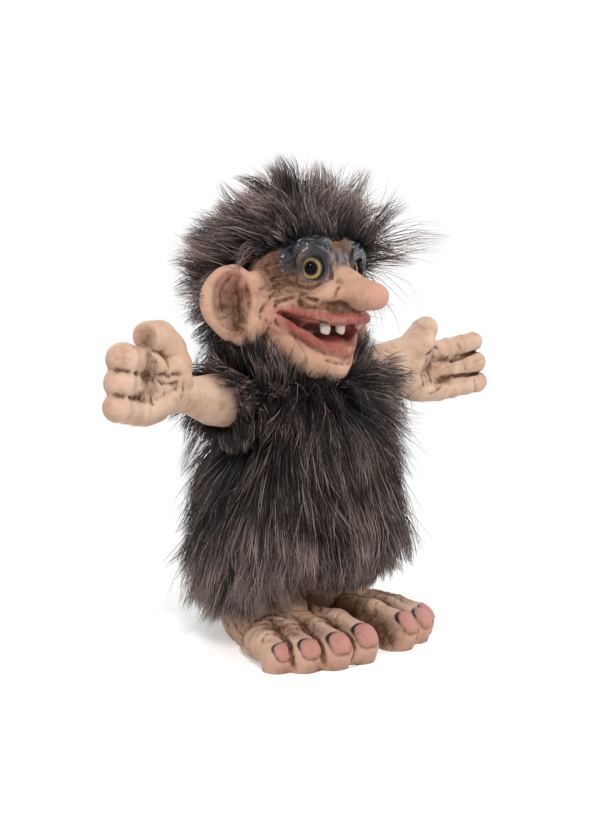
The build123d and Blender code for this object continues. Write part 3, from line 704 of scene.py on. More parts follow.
# Strokes on the right half of the face, each repeated on the left: width, depth, wash, and places.
FACE_CREASES = (
    (0.8, 0.8, 0.9, [(-22, -12, 153.5), (-25, -8.5, 150.5), (-28.5, -4.5, 149.5)]),
    (0.8, 0.8, 0.9, [(-22.5, -11.5, 151.5), (-26.5, -9, 147.5), (-31, -6, 145.5)]),
    (0.8, 0.8, 0.9, [(-23, -11, 149), (-27.5, -9, 145.5), (-31, -6, 142)]),
    (0.7, 0.6, 0.8, [(-22, -11, 156.5), (-25.5, -6.5, 154), (-28, -2, 153)]),
    (0.9, 0.7, 0.8, [(-24, -4, 162), (-26, -3, 156.5), (-27.5, -2, 151.5)]),
    (0.9, 0.9, 0.9, [(-21.5, -11.5, 156.5), (-23, -10, 153), (-22, -12, 149.5), (-19.5, -15, 147.5),
                     (-14, -19, 147.5), (-10, -21, 150)]),
    (0.7, 0.6, 0.8, [(-20.5, -13.5, 150), (-15.5, -18, 149.2), (-11, -20, 151)]),
    (0.8, 0.7, 0.9, [(-22, -9, 160), (-23.5, -9, 154.5), (-23, -11, 150)]),
    (0.8, 0.7, 0.9, [(-21, -9, 162), (-19, -13, 164.5), (-16, -17, 165), (-12.5, -19, 164)]),
    (0.9, 0.9, 0.9, [(-8.5, -19, 166), (-7, -20, 160), (-6.5, -20, 154), (-8, -21.5, 150)]),
    (0.7, 0.6, 0.8, [(-3, -18.5, 166), (-2.5, -20, 161), (-3.5, -20.5, 156)]),
    (1.1, 1.0, 0.95, [(-18.5, -16, 146), (-19, -14.5, 142.5), (-17, -15.5, 139.5), (-13.5, -22, 139)]),
    (1.1, 1.0, 0.8, [(-20.5, -14.5, 143.5), (-26, -10.5, 141.5), (-28.5, -8, 138.5), (-27.5, -8.5, 134),
                     (-25, -10.5, 131)]),
    (0.8, 0.7, 0.7, [(-29.5, -8, 143.5), (-31, -5.5, 139), (-30.5, -5, 133)]),
    (0.8, 0.7, 0.7, [(-28, -9, 139.5), (-29.5, -5, 134), (-28.5, -4, 129), (-25.5, -3, 123.5)]),
    (0.6, 0.5, 0.6, [(-24, -12, 144.5), (-28, -8.5, 143.5), (-31, -5, 143)]),
    (0.6, 0.6, 0.9, [(-22, -14, 144), (-25, -11, 146.5), (-29, -7, 147), (-33, -4, 146)]),
    (0.6, 0.6, 0.9, [(-26, -11, 142.5), (-29.5, -7.5, 141), (-32, -5, 137), (-32, -5, 132)]),
    (0.6, 0.5, 0.8, [(-29, -7, 136), (-30, -6, 131), (-28, -6, 126), (-24, -7, 121)]),
    (0.9, 0.9, 0.9, [(-9.0, -27, 148.5), (-9.8, -26, 146), (-10.4, -25, 142.5)]),
    (0.6, 0.4, 0.6, [(-16.5, -15.5, 148.2), (-13, -19, 149.4), (-9.5, -22.5, 149.6)]),
    (1.0, 0.5, 0.5, [(-9.5, -19.5, 118.5), (-4.5, -22.5, 116.8), (0, -23.3, 116.4)]),
    (0.7, 0.3, 0.45, [(-19.5, -12.5, 127.5), (-16, -15, 121), (-13, -14, 114.5)]),
    (0.9, 0.5, 0.6, [(-42, 1.5, 151), (-44.5, 3.5, 144), (-43.5, 2.5, 136)]),
)


# Arcs of wrinkles round an eye: radius, and the degrees where each starts and how far it sweeps
EYE_ARCS = ((8.8, 15, 120), (10.6, 35, 125), (12.4, 50, 115), (9.4, 195, 130), (11.2, 190, 120))
# Folds on the temple: how far each lies below the first, and how far back it runs
TEMPLE_FOLDS = ((0, 9), (3.2, 10), (6.4, 9), (9.6, 8))


def face_creases(skin):
    """Wrinkles on both halves of the face and folds across the lips."""
    for width, depth, wash, points in FACE_CREASES:
        both(skin.crease, points, width * 0.75, depth, wash * 0.55)
    skin.write()
    for _, s in SIDES:
        skin.press((s * 9.0, -25.0, 139.6), (6.5, 8.0, 4.0), 2.4)
        for radius, start, sweep in EYE_ARCS:
            skin.crease(eye_ring(s, radius, 1.0, start, sweep), 0.75, 0.75, 0.45)
        for drop, reach in TEMPLE_FOLDS:
            fold = [(s * 20.5, -13.5, 159 - drop), (s * 24, -10, 158 - drop * 1.1),
                    (s * (20 + reach), -4, 158.5 - drop * 1.3)]
            skin.crease(fold, 0.75, 0.8, 0.5)
    for lip, apart in ((UPPER_LIP, 2.6), (LOWER_LIP, 2.2)):
        path = smooth_path(lip, apart)
        for i, place in enumerate(path[1:-1]):
            lean = 0.8 * math.sin(i * 2.3)
            fold = [place + (0.3, -2.0, 3.0), place + (lean, -3.5, 0), place + (lean * 0.4, -2.0, -3.0)]
            skin.crease(fold, 0.45, 0.3, 0.12)


def face_paint(skin):
    """Dark paint over the brow and lids, washes on the temples, painted shade under the nose wings, blush,
    lips and the mouth's red.
    """
    for _, s in SIDES:
        skin.dab("dark", (s * EYE[0], EYE[1] - 2, EYE[2] + 1), (11.5, 12, 9.5), 1.0, 0.6)
        skin.dab("dark", (s * 12.5, -15, 165.5), (12, 13, 10.0), 1.0, 0.6)
        skin.dab("dark", (s * 20, -10, 161), (8, 9, 9), 0.9, 0.9)
        skin.dab("dark", (s * 22, -9, 155), (6, 8, 7), 0.55, 0.9)
        skin.dab("wash", (s * 24, -9, 154), (12, 13, 11), 1.0, 0.5)
        skin.dab("wash", (s * 22, -8, 161), (11, 12, 11), 1.0, 0.6)
        skin.dab("wash", (s * 21, -13, 145), (10, 9, 5), 0.65, 0.9)
        skin.dab("lip", (s * 20.5, -14, 134.5), (8, 8, 5), 0.9, 0.6)
        skin.dab("wash", (s * 13, -16, 148.5), (11, 9, 4.5), 0.8, 0.8)
        # Painted shade in the hollow under each nose wing
        skin.dab("wash", (s * 8.5, -20.0, 140.5), (7, 8, 4.0), 0.95, 0.6)
        skin.dab("wash", (s * 30, -4, 146), (6, 8, 9), 0.6, 0.9)
        skin.dab("wash", (s * 27, -8, 147.5), (10, 9, 6), 0.6, 0.9)
        skin.dab("wash", (s * 31, -5, 136), (5, 7, 9), 0.55, 0.9)
        skin.dab("pink", (s * 26, -9, 134.5), 8.5, 0.85, 0.8)
        skin.dab("pink", (s * 29, -6, 141), 8, 0.4, 0.9)
        skin.dab("wash", (s * 42, 0.5, 141), (9, 9, 15), 0.95, 0.7)
        skin.dab("wash", (s * 41, -1, 134), (5, 5, 8), 0.95, 0.6)
        skin.dab("pink", (s * 42, 0, 146), (10, 9, 12), 0.9, 0.7)
    skin.dab("wash", (0, -17, 163), (10, 9, 12), 0.95, 0.6)
    skin.dab("dark", (0, -18, 158.5), (9, 8, 7), 0.8, 0.8)
    skin.dab("wash", (0, -20, 153), (7, 6, 6), 0.5, 0.9)
    skin.dab("pink", (0, -41, 144), (11, 10, 9), 0.7, 0.9)
    skin.brush("lip", UPPER_LIP, 3.0, 1.0)
    skin.brush("lip", LOWER_LIP, 2.7, 0.95)
    skin.dab("lip", (0, -20, 127.5), (17, 6, 6), 0.7, 0.7)
    skin.dab("mouth", (0, -13.5, 130.5), (23, 12.5, 8.5), 1.0, 0.4)
    skin.dab("lip", (0, -14, 127.0), (12, 8, 3.0), 0.8, 0.8)


class TROLL_OT_head(bpy.types.Operator):
    """Models the head casting with its grin, nose and ears, and paints it"""
    bl_idname = "troll.head"
    bl_label = "Head"

    def execute(self, context):
        skin = Skin(head_form(context.scene.troll_skin.grain))
        face_creases(skin)
        face_paint(skin)
        piece = skin.finish(skin_finish("painted_head_skin", 0.3))
        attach(piece, "head")
        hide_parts("head")
        return {"FINISHED"}


# Arms and hands


SHOULDER = Vector((28.0, 3.05, 99.3))
ARM_AXIS = Vector((0.98134, -0.11181, 0.15643))
WRIST = SHOULDER + ARM_AXIS * 41.5
HAND_RAISE = math.radians(10.0)
HAND_SWEEP = math.radians(9.0)
HAND_TURN = (0, -10, -9)
FINGER_CURL = math.radians(12.0)
FINGER_ROOT = 24.8
FINGERS = {"left": ((9.4, 1.5), (0.0, 0.0), (-9.4, -1.0)), "right": ((6.9, 1.0), (-1.0, 0.0), (-9.2, -1.0))}


def hand_place(along, up, out):
    """A place on the left hand: along the palm from the wrist, up across the fingers, out of the palm."""
    x = Vector((math.cos(HAND_RAISE) * math.cos(HAND_SWEEP), -math.cos(HAND_RAISE) * math.sin(HAND_SWEEP),
                math.sin(HAND_RAISE)))
    z = x.cross(Vector((0, 0, 1))).normalized()
    y = z.cross(x)
    return tuple(WRIST + x * along + y * up + z * out)


def finger_place(height, fan, along):
    """A place on a finger's line, measured from its root in the palm."""
    spread = math.radians(fan)
    return hand_place(FINGER_ROOT + along * math.cos(FINGER_CURL) * math.cos(spread),
                      height + along * math.sin(spread), along * math.sin(FINGER_CURL))


# How thick each finger is beside the usual finger
FINGER_THICKNESS = {"left": (0.86, 1.0, 0.96), "right": (1.16, 1.12, 1.0)}
# Each thumb's line with its radii: along the palm, up and out of it
THUMBS = {
    "left": (((7, 8, -1), 9.4), ((13.5, 14.5, 0), 7.9), ((18.5, 19.5, -0.4), 6.4), ((20.2, 20.8, 0), 5.7)),
    "right": (((10, 5, 0.5), 7.0), ((14, 15.5, 0), 6.4), ((20.5, 19.4, -0.4), 6.0), ((28.2, 18.2, 0.4), 5.6)),
}
# Strokes in each palm: width, depth, wash, and places on the hand
PALM_CREASES = {
    "left": (
        (0.9, 1.7, 0.95, ((20, 6.2, 7), (28, 5.3, 6.5), (38, 4.9, 6), (50, 4.7, 5))),
        (0.9, 1.7, 0.95, ((19, -2.5, 7), (27, -4.3, 6.5), (38, -4.8, 6), (49, -5.0, 5))),
        (0.9, 1.0, 0.85, ((24, 13.5, 4), (17, 11, 7), (10, 10.5, 7))),
        (0.7, 0.9, 0.8, ((17, 10, 8), (14, 4, 8), (15, -3, 8))),
        (0.6, 0.8, 0.75, ((20, 8, 8), (17.5, 2, 8), (18.5, -4, 8))),
        (0.6, 0.7, 0.65, ((12, 9, 8), (10, 3, 8), (11.5, -4, 8))),
        (0.6, 0.5, 0.5, ((9, 6, 8), (7.5, 1, 8), (8.5, -5, 8))),
        (0.6, 0.5, 0.5, ((21, -6, 7), (16, -8, 7), (10, -8.5, 7))),
        (0.5, 0.4, 0.5, ((34, 11.5, 6), (35.5, 8, 6))),
        (0.5, 0.4, 0.5, ((41, -8, 6), (42.5, -11.5, 5))),
        (0.5, 0.4, 0.4, ((36, 1.5, 6), (37, -2, 6))),
    ),
    "right": (
        (0.75, 0.4, 0.95, ((52, 2.9, 5.5), (47, 2.8, 5.5), (41, 3.6, 5.0))),
        (0.75, 0.4, 0.95, ((52, -5.2, 5.5), (47, -5.1, 5.5), (42, -5.0, 5.0), (34.5, -2.2, 6.5))),
        (0.7, 0.9, 0.9, ((40, 4, 7), (33, -1.2, 7), (27.5, -6.5, 7))),
        (1.3, 1.5, 0.95, ((44, 13, 4), (36, 12, 6), (28, 12, 6))),
        (0.6, 0.7, 0.8, ((38, 10, 7), (33, 8.5, 7), (29, 8, 7))),
        (0.5, 0.6, 0.75, ((37.5, 7, 7), (33, 5, 7), (30.5, 4.5, 7))),
        (0.5, 0.6, 0.75, ((34.5, 11, 7), (33, 7, 7), (30, 1.5, 7))),
        (0.5, 0.5, 0.7, ((40, -2.5, 7), (38, -5, 7), (35, -6, 7))),
        (0.5, 0.5, 0.7, ((42, -3.5, 7), (39.5, -6, 7))),
        (0.8, 0.9, 0.75, ((29.5, 8, 7), (28.2, 4, 7), (20, 5.2, 7), (13, 6.5, 7))),
        (0.6, 0.5, 0.5, ((28.5, 3.5, 7), (21, 2.2, 7), (14.5, 3, 7))),
        (0.6, 0.4, 0.35, ((12.5, 5, 7), (12, 0.5, 7), (13, -3, 7))),
    ),
}


def arm_form(side, voxel):
    """One forearm and hand in clay, on the left side of the figure."""
    clay = Clay(f"{side}_hand_form")
    clay.limb(SHOULDER + ARM_AXIS * 12.0, SHOULDER + ARM_AXIS * 25, 10.0, 10.2)
    clay.limb(SHOULDER + ARM_AXIS * 25, WRIST, 10.2, 6.8)
    clay.limb(WRIST, hand_place(10, -1, 0), 6.8, 7.2)
    if side == "left":
        clay.lump(hand_place(17, -0.5, -1.0), (13.5, 6.0, 13.0), HAND_TURN, detail=5)
        clay.lump(hand_place(25, 0, -0.5), (8, 5.8, 13.8), HAND_TURN, detail=5)
        clay.limb(hand_place(8, -5.5, 1.0), hand_place(23, -8.8, 1.2), 5.8, 5.6)
        clay.lump(hand_place(-4, 2.0, -3.0), (20, 8.5, 12.0), HAND_TURN, detail=5)
        clay.limb(hand_place(-12, 6.0, -5.0), hand_place(9, 10.0, -2.5), 12.0, 9.2)
    else:
        clay.lump(hand_place(18, 1.0, -1.0), (13.5, 6.2, 11.2), HAND_TURN, detail=5)
        clay.lump(hand_place(30, 0.3, 0.2), (11, 6.0, 13.2), HAND_TURN, detail=5)
        clay.limb(hand_place(14, -3.0, 1.0), hand_place(26, -8.0, 1.2), 5.6, 5.4)
    for (height, fan), thick in zip(FINGERS[side], FINGER_THICKNESS[side]):
        clay.limb(finger_place(height * 0.8, fan, -10), finger_place(height, fan, 0), 4.8, 5.3 * thick)
        clay.limb(finger_place(height, fan, 0), finger_place(height, fan, 12), 5.3 * thick, 5.0 * thick)
        clay.limb(finger_place(height, fan, 12), finger_place(height, fan, 22.6), 5.1 * thick, 4.9 * thick)
        for along, size in ((7.0, 5.6), (15.5, 5.4), (21.8, 5.35)):
            size *= thick
            clay.lump(finger_place(height, fan, along), (size * 0.95, size, size))
    for (start, near), (end, far) in zip(THUMBS[side], THUMBS[side][1:]):
        clay.limb(hand_place(*start), hand_place(*end), near, far)
    clay.lump(hand_place(12, 9, 2.5), (7.5, 5.0, 8.0), HAND_TURN)
    return clay.fuse(voxel, 5)


def arm_strokes(side, skin):
    """The hollow of the palm, its lines, the grooves between the fingers, and the hand's paint."""
    middle = 17 if side == "left" else 33
    skin.press(hand_place(middle, 3, 6.5), 9.0, 2.0)
    for width, depth, wash, places in PALM_CREASES[side]:
        skin.crease([hand_place(*place) for place in places], width, depth, wash)
    for gap in (4.7, -4.7):
        back = [hand_place(24, gap, -5.6), hand_place(33, gap * 1.02, -4), hand_place(48, gap * 1.06, -4)]
        skin.crease(back, 0.9, 1.2, 0.8)
        if side == "left":
            skin.press(hand_place(24, gap + 0.8, 6.5), (5, 5, 3.5), 1.3)
            skin.dab("wash", hand_place(24, gap + 0.8, 6.0), (6, 5, 3.0), 0.8, 0.8)
        else:
            skin.dab("wash", hand_place(38.5, -4.2, 6.5), (5, 5, 3.0), 0.55, 0.8)
    skin.dab("wash", hand_place(middle, 4, 7), (9, 6, 10), 0.55, 0.9)
    skin.dab("pink", hand_place(middle, 4, 7), (11, 6, 12), 0.3, 0.9)
    skin.dab("wash", SHOULDER + ARM_AXIS * 22, (14, 15, 15), 0.65, 0.9)
    for height, fan in FINGERS[side]:
        skin.dab("pink", finger_place(height, fan, 25.0), (6, 7, 6), 0.35, 0.9)
        skin.dab("wash", finger_place(height - 3.5, fan, 24.0), (5, 5, 4), 0.25, 0.9)
    tip, size = THUMBS[side][-1]
    skin.dab("pink", hand_place(tip[0] + size, tip[1], tip[2]), (5, 6, 6), 0.35, 0.9)
    if side == "right":
        skin.dab("wash", hand_place(32, 17.0, 3.5), (4, 5, 6), 0.7, 0.8)
        for step in range(-3, 4):
            lean = 1.6 * step
            hatch = ((38.5 + 0.5 * lean, 9.5 - 0.4 * abs(lean), 7), (33.5 + lean, 2.5, 7),
                     (29.0 + lean, 0.3 * abs(lean) - 4.5, 7))
            skin.crease([hand_place(*place) for place in hatch], 0.6, 0.5, 0.6)


def mirror_piece(piece, name):
    """A copy of a piece for the other side of the figure."""
    select_only(piece)
    bpy.ops.object.duplicate()
    copy = bpy.context.object
    copy.name = name
    copy.data.name = name
    bpy.ops.object.mode_set(mode="EDIT")
    bpy.ops.mesh.select_all(action="SELECT")
    bpy.ops.transform.mirror(constraint_axis=(True, False, False), orient_type="GLOBAL",
                             center_override=(0.0, 0.0, 0.0))
    bpy.ops.mesh.flip_normals()
    bpy.ops.object.mode_set(mode="OBJECT")
    return copy


class TROLL_OT_arms(bpy.types.Operator):
    """Models the two forearms with their open hands and paints them"""
    bl_idname = "troll.arms"
    bl_label = "Arms"

    def execute(self, context):
        finish = skin_finish("painted_hand_skin", -0.15)
        for side in THUMBS:
            skin = Skin(arm_form(side, context.scene.troll_skin.grain))
            arm_strokes(side, skin)
            piece = skin.finish(finish)
            if side == "right":
                form = piece
                piece = mirror_piece(form, "right_troll_arm")
                bpy.data.objects.remove(form)
            piece.name = f"{side}_troll_arm"
            piece.data.name = f"{side}_troll_arm"
            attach(piece, f"{side}_arm")
            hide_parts(f"{side}_arm")
        return {"FINISHED"}


# Feet


# Each toe: how far outward it lies, how far forward it reaches, and its radius
TOES = ((-12.0, 56.0, 8.8), (2.0, 56.0, 8.1), (14.0, 52.0, 7.3), (23.0, 46.0, 6.4))
ANKLE = (17.0, 5.05)
FOOT_SPLAY = 10.0


def foot_place(outward, forward, height):
    """A place on the left foot, from the point under its ankle."""
    splay = math.radians(FOOT_SPLAY)
    return (ANKLE[0] + outward * math.cos(splay) + forward * math.sin(splay),
            ANKLE[1] + outward * math.sin(splay) - forward * math.cos(splay), height)


def toe_ball(outward, reach, radius):
    """The middle of a toe's round end."""
    return foot_place(outward, reach - radius * 1.05, radius * 0.78)


def foot_form(voxel):
    """The left foot in clay, flat underneath."""
    clay = Clay("left_troll_foot")
    clay.lump(foot_place(0, -4, 10.5), 14.5, detail=5)
    clay.limb(foot_place(0, 0, 10), foot_place(0, -1, 17), 12.5, 11.6)
    clay.lump(foot_place(0, 0, 20), (11.8, 11.8, 5.9))
    clay.lump(foot_place(1, 8, 9.5), (15.5, 20, 15.0), (-13, 0, FOOT_SPLAY), detail=5)
    clay.lump(foot_place(3.5, 23, 7.0), (19.5, 17, 10.5), (-10, 0, FOOT_SPLAY), detail=5)
    clay.lump(foot_place(3.0, 26, 2.4), (20.5, 25, 4.2), (0, 0, FOOT_SPLAY), detail=5)
    for outward, reach, radius in TOES:
        root = foot_place(outward * 0.72, 22, radius + 3.0)
        knuckle = foot_place(outward * 0.93, reach - radius * 2.5, radius + 1.2)
        end = toe_ball(outward, reach, radius)
        clay.limb(root, knuckle, radius * 0.72, radius * 0.86)
        clay.limb(knuckle, end, radius * 0.86, radius * 0.97)
        clay.lump(knuckle, radius * 0.97)
        clay.limb(end, foot_place(outward, reach - radius * 1.12, radius * 0.3), radius * 0.97, radius * 0.9)
    for (outward, reach, radius), (beside, near, small) in zip(TOES, TOES[1:]):
        clay.limb(foot_place(outward, reach - radius, 3.2), foot_place(beside, near - small, 3.0), 4.2, 4.0)
    piece = clay.fuse(voxel, 5)
    select_only(piece)
    bpy.ops.object.mode_set(mode="EDIT")
    bpy.ops.mesh.select_all(action="SELECT")
    bpy.ops.mesh.bisect(plane_co=(0, 0, 0), plane_no=(0, 0, 1), clear_inner=True, use_fill=True)
    bpy.ops.object.mode_set(mode="OBJECT")
    return piece


def nail(skin, outward, reach, radius):
    """A raised nail plate on a toe, with a dark line round its root."""
    centre = foot_place(outward, reach - radius * 0.5, radius * 1.28)
    half_width = 0.6 * radius
    half_length = 0.58 * radius
    turn = math.radians(FOOT_SPLAY)
    ahead = Vector((math.sin(turn), -math.cos(turn), -1.0)).normalized()
    aside = Vector((math.cos(turn), math.sin(turn), 0))
    offset = skin.points - np.asarray(centre)
    u = offset @ np.asarray(aside) / half_width
    v = offset @ np.asarray(ahead) / half_length
    up = skin.normals @ np.array([ahead.x, ahead.y, 0.7]) > 0.35
    up &= np.linalg.norm(skin.points - np.asarray(toe_ball(outward, reach, radius)), axis=1) < 1.2 * radius
    away = (np.abs(u) ** 2.6 + np.abs(v) ** 2.6) ** (1 / 2.6)
    plate = np.clip((1.0 - away) / 0.12, 0, 1) * up
    rim = np.exp(-((away - 1.08) / 0.11) ** 2) * up
    root = rim * np.clip(0.35 - v, 0, 1)
    skin.points += skin.normals * (0.45 * plate - 0.35 * rim - 0.25 * root)[:, None]
    every = np.arange(len(plate))
    skin.tint("nail", every, plate)
    skin.tint("wash", every, rim * 0.55)
    skin.tint("dark", every, root * 1.2)


def foot_strokes(skin):
    """Grooves between the toes and up the instep, toe joints, nails, stains, and painted shade under the toes
    and below the coat's hem.
    """
    for (outward, reach, radius), (beside, near, small) in zip(TOES, TOES[1:]):
        gap = (outward + radius + beside - small) / 2
        front = (reach + near) / 2
        groove = [foot_place(gap, front - 3, 2.5), foot_place(gap, front - 7, 9),
                  foot_place(gap * 0.9, front - 16, 13), foot_place(gap * 0.75, front - 27, 17)]
        skin.crease(groove, 0.9, 1.9, 0.95)
        skin.dab("wash", foot_place(gap * 0.85, front - 16, 13), (5, 14, 8), 0.85, 0.8)
    for outward, reach, radius in TOES:
        nail(skin, outward, reach, radius)
        for back, wide in ((1.9, 0.75), (2.5, 0.8), (3.1, 0.7)):
            joint = [foot_place(outward - radius * wide, reach - radius * back, radius * 1.6),
                     foot_place(outward, reach - radius * (back + 0.15), radius * 2.3),
                     foot_place(outward + radius * wide, reach - radius * back, radius * 1.6)]
            skin.crease(joint, 0.6, 0.4, 0.4)
        # Painted shade along the bottom of each toe, where it meets the floor
        under = (radius, radius, radius * 0.8)
        skin.dab("pink", foot_place(outward, reach - radius * 0.2, radius * 0.9), radius * 1.3, 0.5, 0.9)
        skin.dab("wash", foot_place(outward, reach - radius * 0.4, 0), under, 0.5, 0.9)
    for start, end in ((-16, -8), (-11, -3), (14, 9), (19, 12), (22, 16)):
        instep = [foot_place(start, 14, 10), foot_place((start + end) / 2, 20, 16), foot_place(end, 30, 14)]
        skin.crease(instep, 0.8, 0.7, 0.6)
    for back, low in ((-8, 6), (0, 9), (6, 5), (12, 12)):
        flank = [foot_place(17, back - 4, low + 6), foot_place(18, back, low + 2),
                 foot_place(20, back + 5, low)]
        skin.crease(flank, 0.7, 0.6, 0.55)
    skin.dab("wash", foot_place(-22, 32, 8), (12, 30, 14), 1.0, 0.45)
    # Painted shadow of the coat's hem over the top of the foot and the ankle
    skin.dab("wash", foot_place(2, 12, 24), (22, 20, 10), 0.7, 0.9)
    skin.dab("wash", foot_place(14, -2, 20), (14, 16, 10), 0.4, 0.9)


class TROLL_OT_feet(bpy.types.Operator):
    """Models one bare foot with its toes and nails, paints it and mirrors it"""
    bl_idname = "troll.feet"
    bl_label = "Feet"

    def execute(self, context):
        skin = Skin(foot_form(context.scene.troll_skin.grain))
        foot_strokes(skin)
        left = skin.finish(skin_finish("painted_foot_skin", 0.02))
        right = mirror_piece(left, "right_troll_foot")
        for piece, side in ((left, "left"), (right, "right")):
            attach(piece, "torso")
            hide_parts(f"{side}_foot")
        return {"FINISHED"}


# Teeth and eyes


# Each tooth: its place across the mouth, half its width, and its lean in degrees
TEETH = {"right": (-8.6, 2.9, 14), "left": (1.2, 2.5, -10)}
GUM_LINE = 131.6


class TROLL_OT_teeth(bpy.types.Operator):
    """Models the two chipped upper teeth"""
    bl_idname = "troll.teeth"
    bl_label = "Teeth"

    def execute(self, context):
        finish = tooth_finish("tooth_enamel")
        for name, (x, width, lean) in TEETH.items():
            clay = Clay(f"{name}_chipped_tooth")
            clay.lump((x, -19.6, 131.2), (width, 1.6, 2.5), (4, lean, 0))
            clay.lump((x - 0.4, -19.3, 133.0), (width * 0.85, 1.5, 2.2), (0, lean, 0))
            clay.lump((x + 0.9, -19.7, 130.0), (width * 0.5, 1.3, 1.6), (0, -lean, 0))
            clay.lump((x - 1.5, -19.5, 130.6), (width * 0.36, 1.2, 1.5), (0, lean, 0))
            skin = Skin(clay.fuse(0.0003, 4))
            stain = np.clip((skin.points[:, 2] - GUM_LINE) / 2.0, 0, 1)
            skin.tint("wash", np.arange(len(skin.points)), stain)
            piece = skin.finish(finish)
            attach(piece, "head")
            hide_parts(f"{name}_tooth")
        return {"FINISHED"}


def give(node, material):
    """Sets a CAD node's material."""
    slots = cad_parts[node].data.materials
    slots.clear()
    slots.append(material)


class TROLL_OT_eyes(bpy.types.Operator):
    """Models the glass eyes: a clear ball over a gold iris and a black pupil"""
    bl_idname = "troll.eyes"
    bl_label = "Eyes"

    def execute(self, context):
        glass = glass_finish("eye_clear_glass")
        black = black_finish("eye_black_glass")
        for name, s in SIDES:
            centre = Vector((s * EYE[0], EYE[1] + 0.05, EYE[2]))
            turn = math.radians(EYE_TURN[name])
            look = Vector((math.sin(turn), -math.cos(turn), 0.05)).normalized()
            iris = iris_finish(f"{name}_iris_gold", tuple(centre * MM), IRIS_RADIUS * MM)
            ball = (EYE_RADIUS, EYE_RADIUS, EYE_RADIUS)
            gold = (4.6, 4.6, 0.25)
            spot = (PUPIL_RADIUS, PUPIL_RADIUS, 0.15)
            ahead = centre + look * 0.28
            self.part(f"{name}_eye_ball", centre, ball, look, glass, f"{name}_eye_lens", "eye_glass")
            self.part(f"{name}_eye_gold", centre, gold, look, iris, f"{name}_eye_iris", "eye_gold")
            self.part(f"{name}_eye_black", ahead, spot, look, black, f"{name}_eye_pupil", "eye_black")
            give(f"{name}_eye_shank", black)
        return {"FINISHED"}

    def part(self, name, centre, radii, look, material, node, slot):
        """One ball or flattened ball of an eye, turned to where the eye looks."""
        select_nothing()
        bpy.ops.mesh.primitive_uv_sphere_add(segments=64, ring_count=32, radius=1.0)
        piece = bpy.context.object
        piece.name = name
        piece.data.name = name
        piece.location = centre * MM
        piece.rotation_euler = look.to_track_quat("Z", "Y").to_euler()
        piece.scale = [r * MM for r in radii]
        bpy.ops.object.transform_apply(location=True, rotation=True, scale=True)
        bpy.ops.object.shade_smooth()
        piece.data.materials.append(material)
        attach(piece, "head")
        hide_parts(node)


# Fur


# Points along a strand, and the thickness at each of them but the tip
LEVELS = 5
STRAND_TAPER = np.array([1.0, 0.95, 0.8, 0.55])
STRAND_MAP = "OFBake"
# Steps of shade across the strands' map
LANES = 64
PIECE_STRANDS = 9000
# Shades are kept between these ends. Strands over PALE are a little thicker.
SHADES = (0.02, 0.98)
SHADE_SCATTER = 0.22
PALE = 0.9
DRIFT_WAVES = 9
# How late along a strand its tuft closes, and how far
TUFT_BEND = 1.3
TUFT_CLOSE = 0.85
UP = np.array([0, 0, 1.0])
DOWN = np.array([0, 0, -1.0])
FRONT_LEFT = np.array([0.64, -0.77, 0.0])


def unit(vectors):
    """The same directions with a length of 1."""
    return vectors / np.maximum(np.linalg.norm(vectors, axis=-1, keepdims=True), 1e-9)


class Drift:
    """A smooth seeded field that sways neighbouring strands the same way."""

    def __init__(self, seed, size):
        draw = np.random.default_rng(seed)
        ways = unit(draw.normal(size=(DRIFT_WAVES, 3)))
        self.waves = ways * draw.uniform(0.6, 1.6, (DRIFT_WAVES, 1)) / size * 2 * math.pi
        self.shift = draw.uniform(0, 2 * math.pi, (DRIFT_WAVES, 3))
        self.lean = draw.normal(size=(DRIFT_WAVES, 3)) / 3.0

    def at(self, points):
        """The sway at each point."""
        phase = points @ self.waves.T
        return sum(np.sin(phase[:, [i]] + self.shift[i]) * self.lean[i] for i in range(DRIFT_WAVES))


def ramp(values, start, span):
    """0 up to a start, then rising evenly to 1 over a span."""
    return np.clip((values - start) / span, 0, 1)


def lay(roots, first, last, lengths, bend, wobble, amount):
    """Strand lines from their roots: they set off along first, turn towards last and wobble on the way."""
    lines = np.empty((len(roots), LEVELS, 3))
    lines[:, 0] = roots
    for level in range(1, LEVELS):
        t = ((level - 0.5) / (LEVELS - 1)) ** bend
        way = unit((1 - t) * first + t * last + amount * t * wobble.at(lines[:, level - 1]))
        lines[:, level] = lines[:, level - 1] + way * (lengths / (LEVELS - 1))[:, None]
    return lines


def nearest(points, centres):
    """Which centre is nearest to each point."""
    tree = kdtree.KDTree(len(centres))
    for index, centre in enumerate(centres):
        tree.insert(centre, index)
    tree.balance()
    return np.array([tree.find(p)[1] for p in points])


def pulls(draw, count, flyaway, least):
    """How strongly each strand is drawn into its tuft. A share of the strands flies away."""
    loose = draw.uniform(0, 1, count) < flyaway
    return np.where(loose, 0.0, draw.uniform(least, 1.0, count))


def gather(lines, leaders, owner, pull):
    """Draws each strand towards its tuft's own line, more at the tip."""
    t = np.linspace(0, 1, LEVELS) ** TUFT_BEND
    offset = lines[:, :1] - leaders[owner][:, :1]
    target = leaders[owner] + offset * (1 - TUFT_CLOSE * t)[None, :, None]
    share = (pull[:, None] * t[None, :])[..., None]
    return lines * (1 - share) + target * share


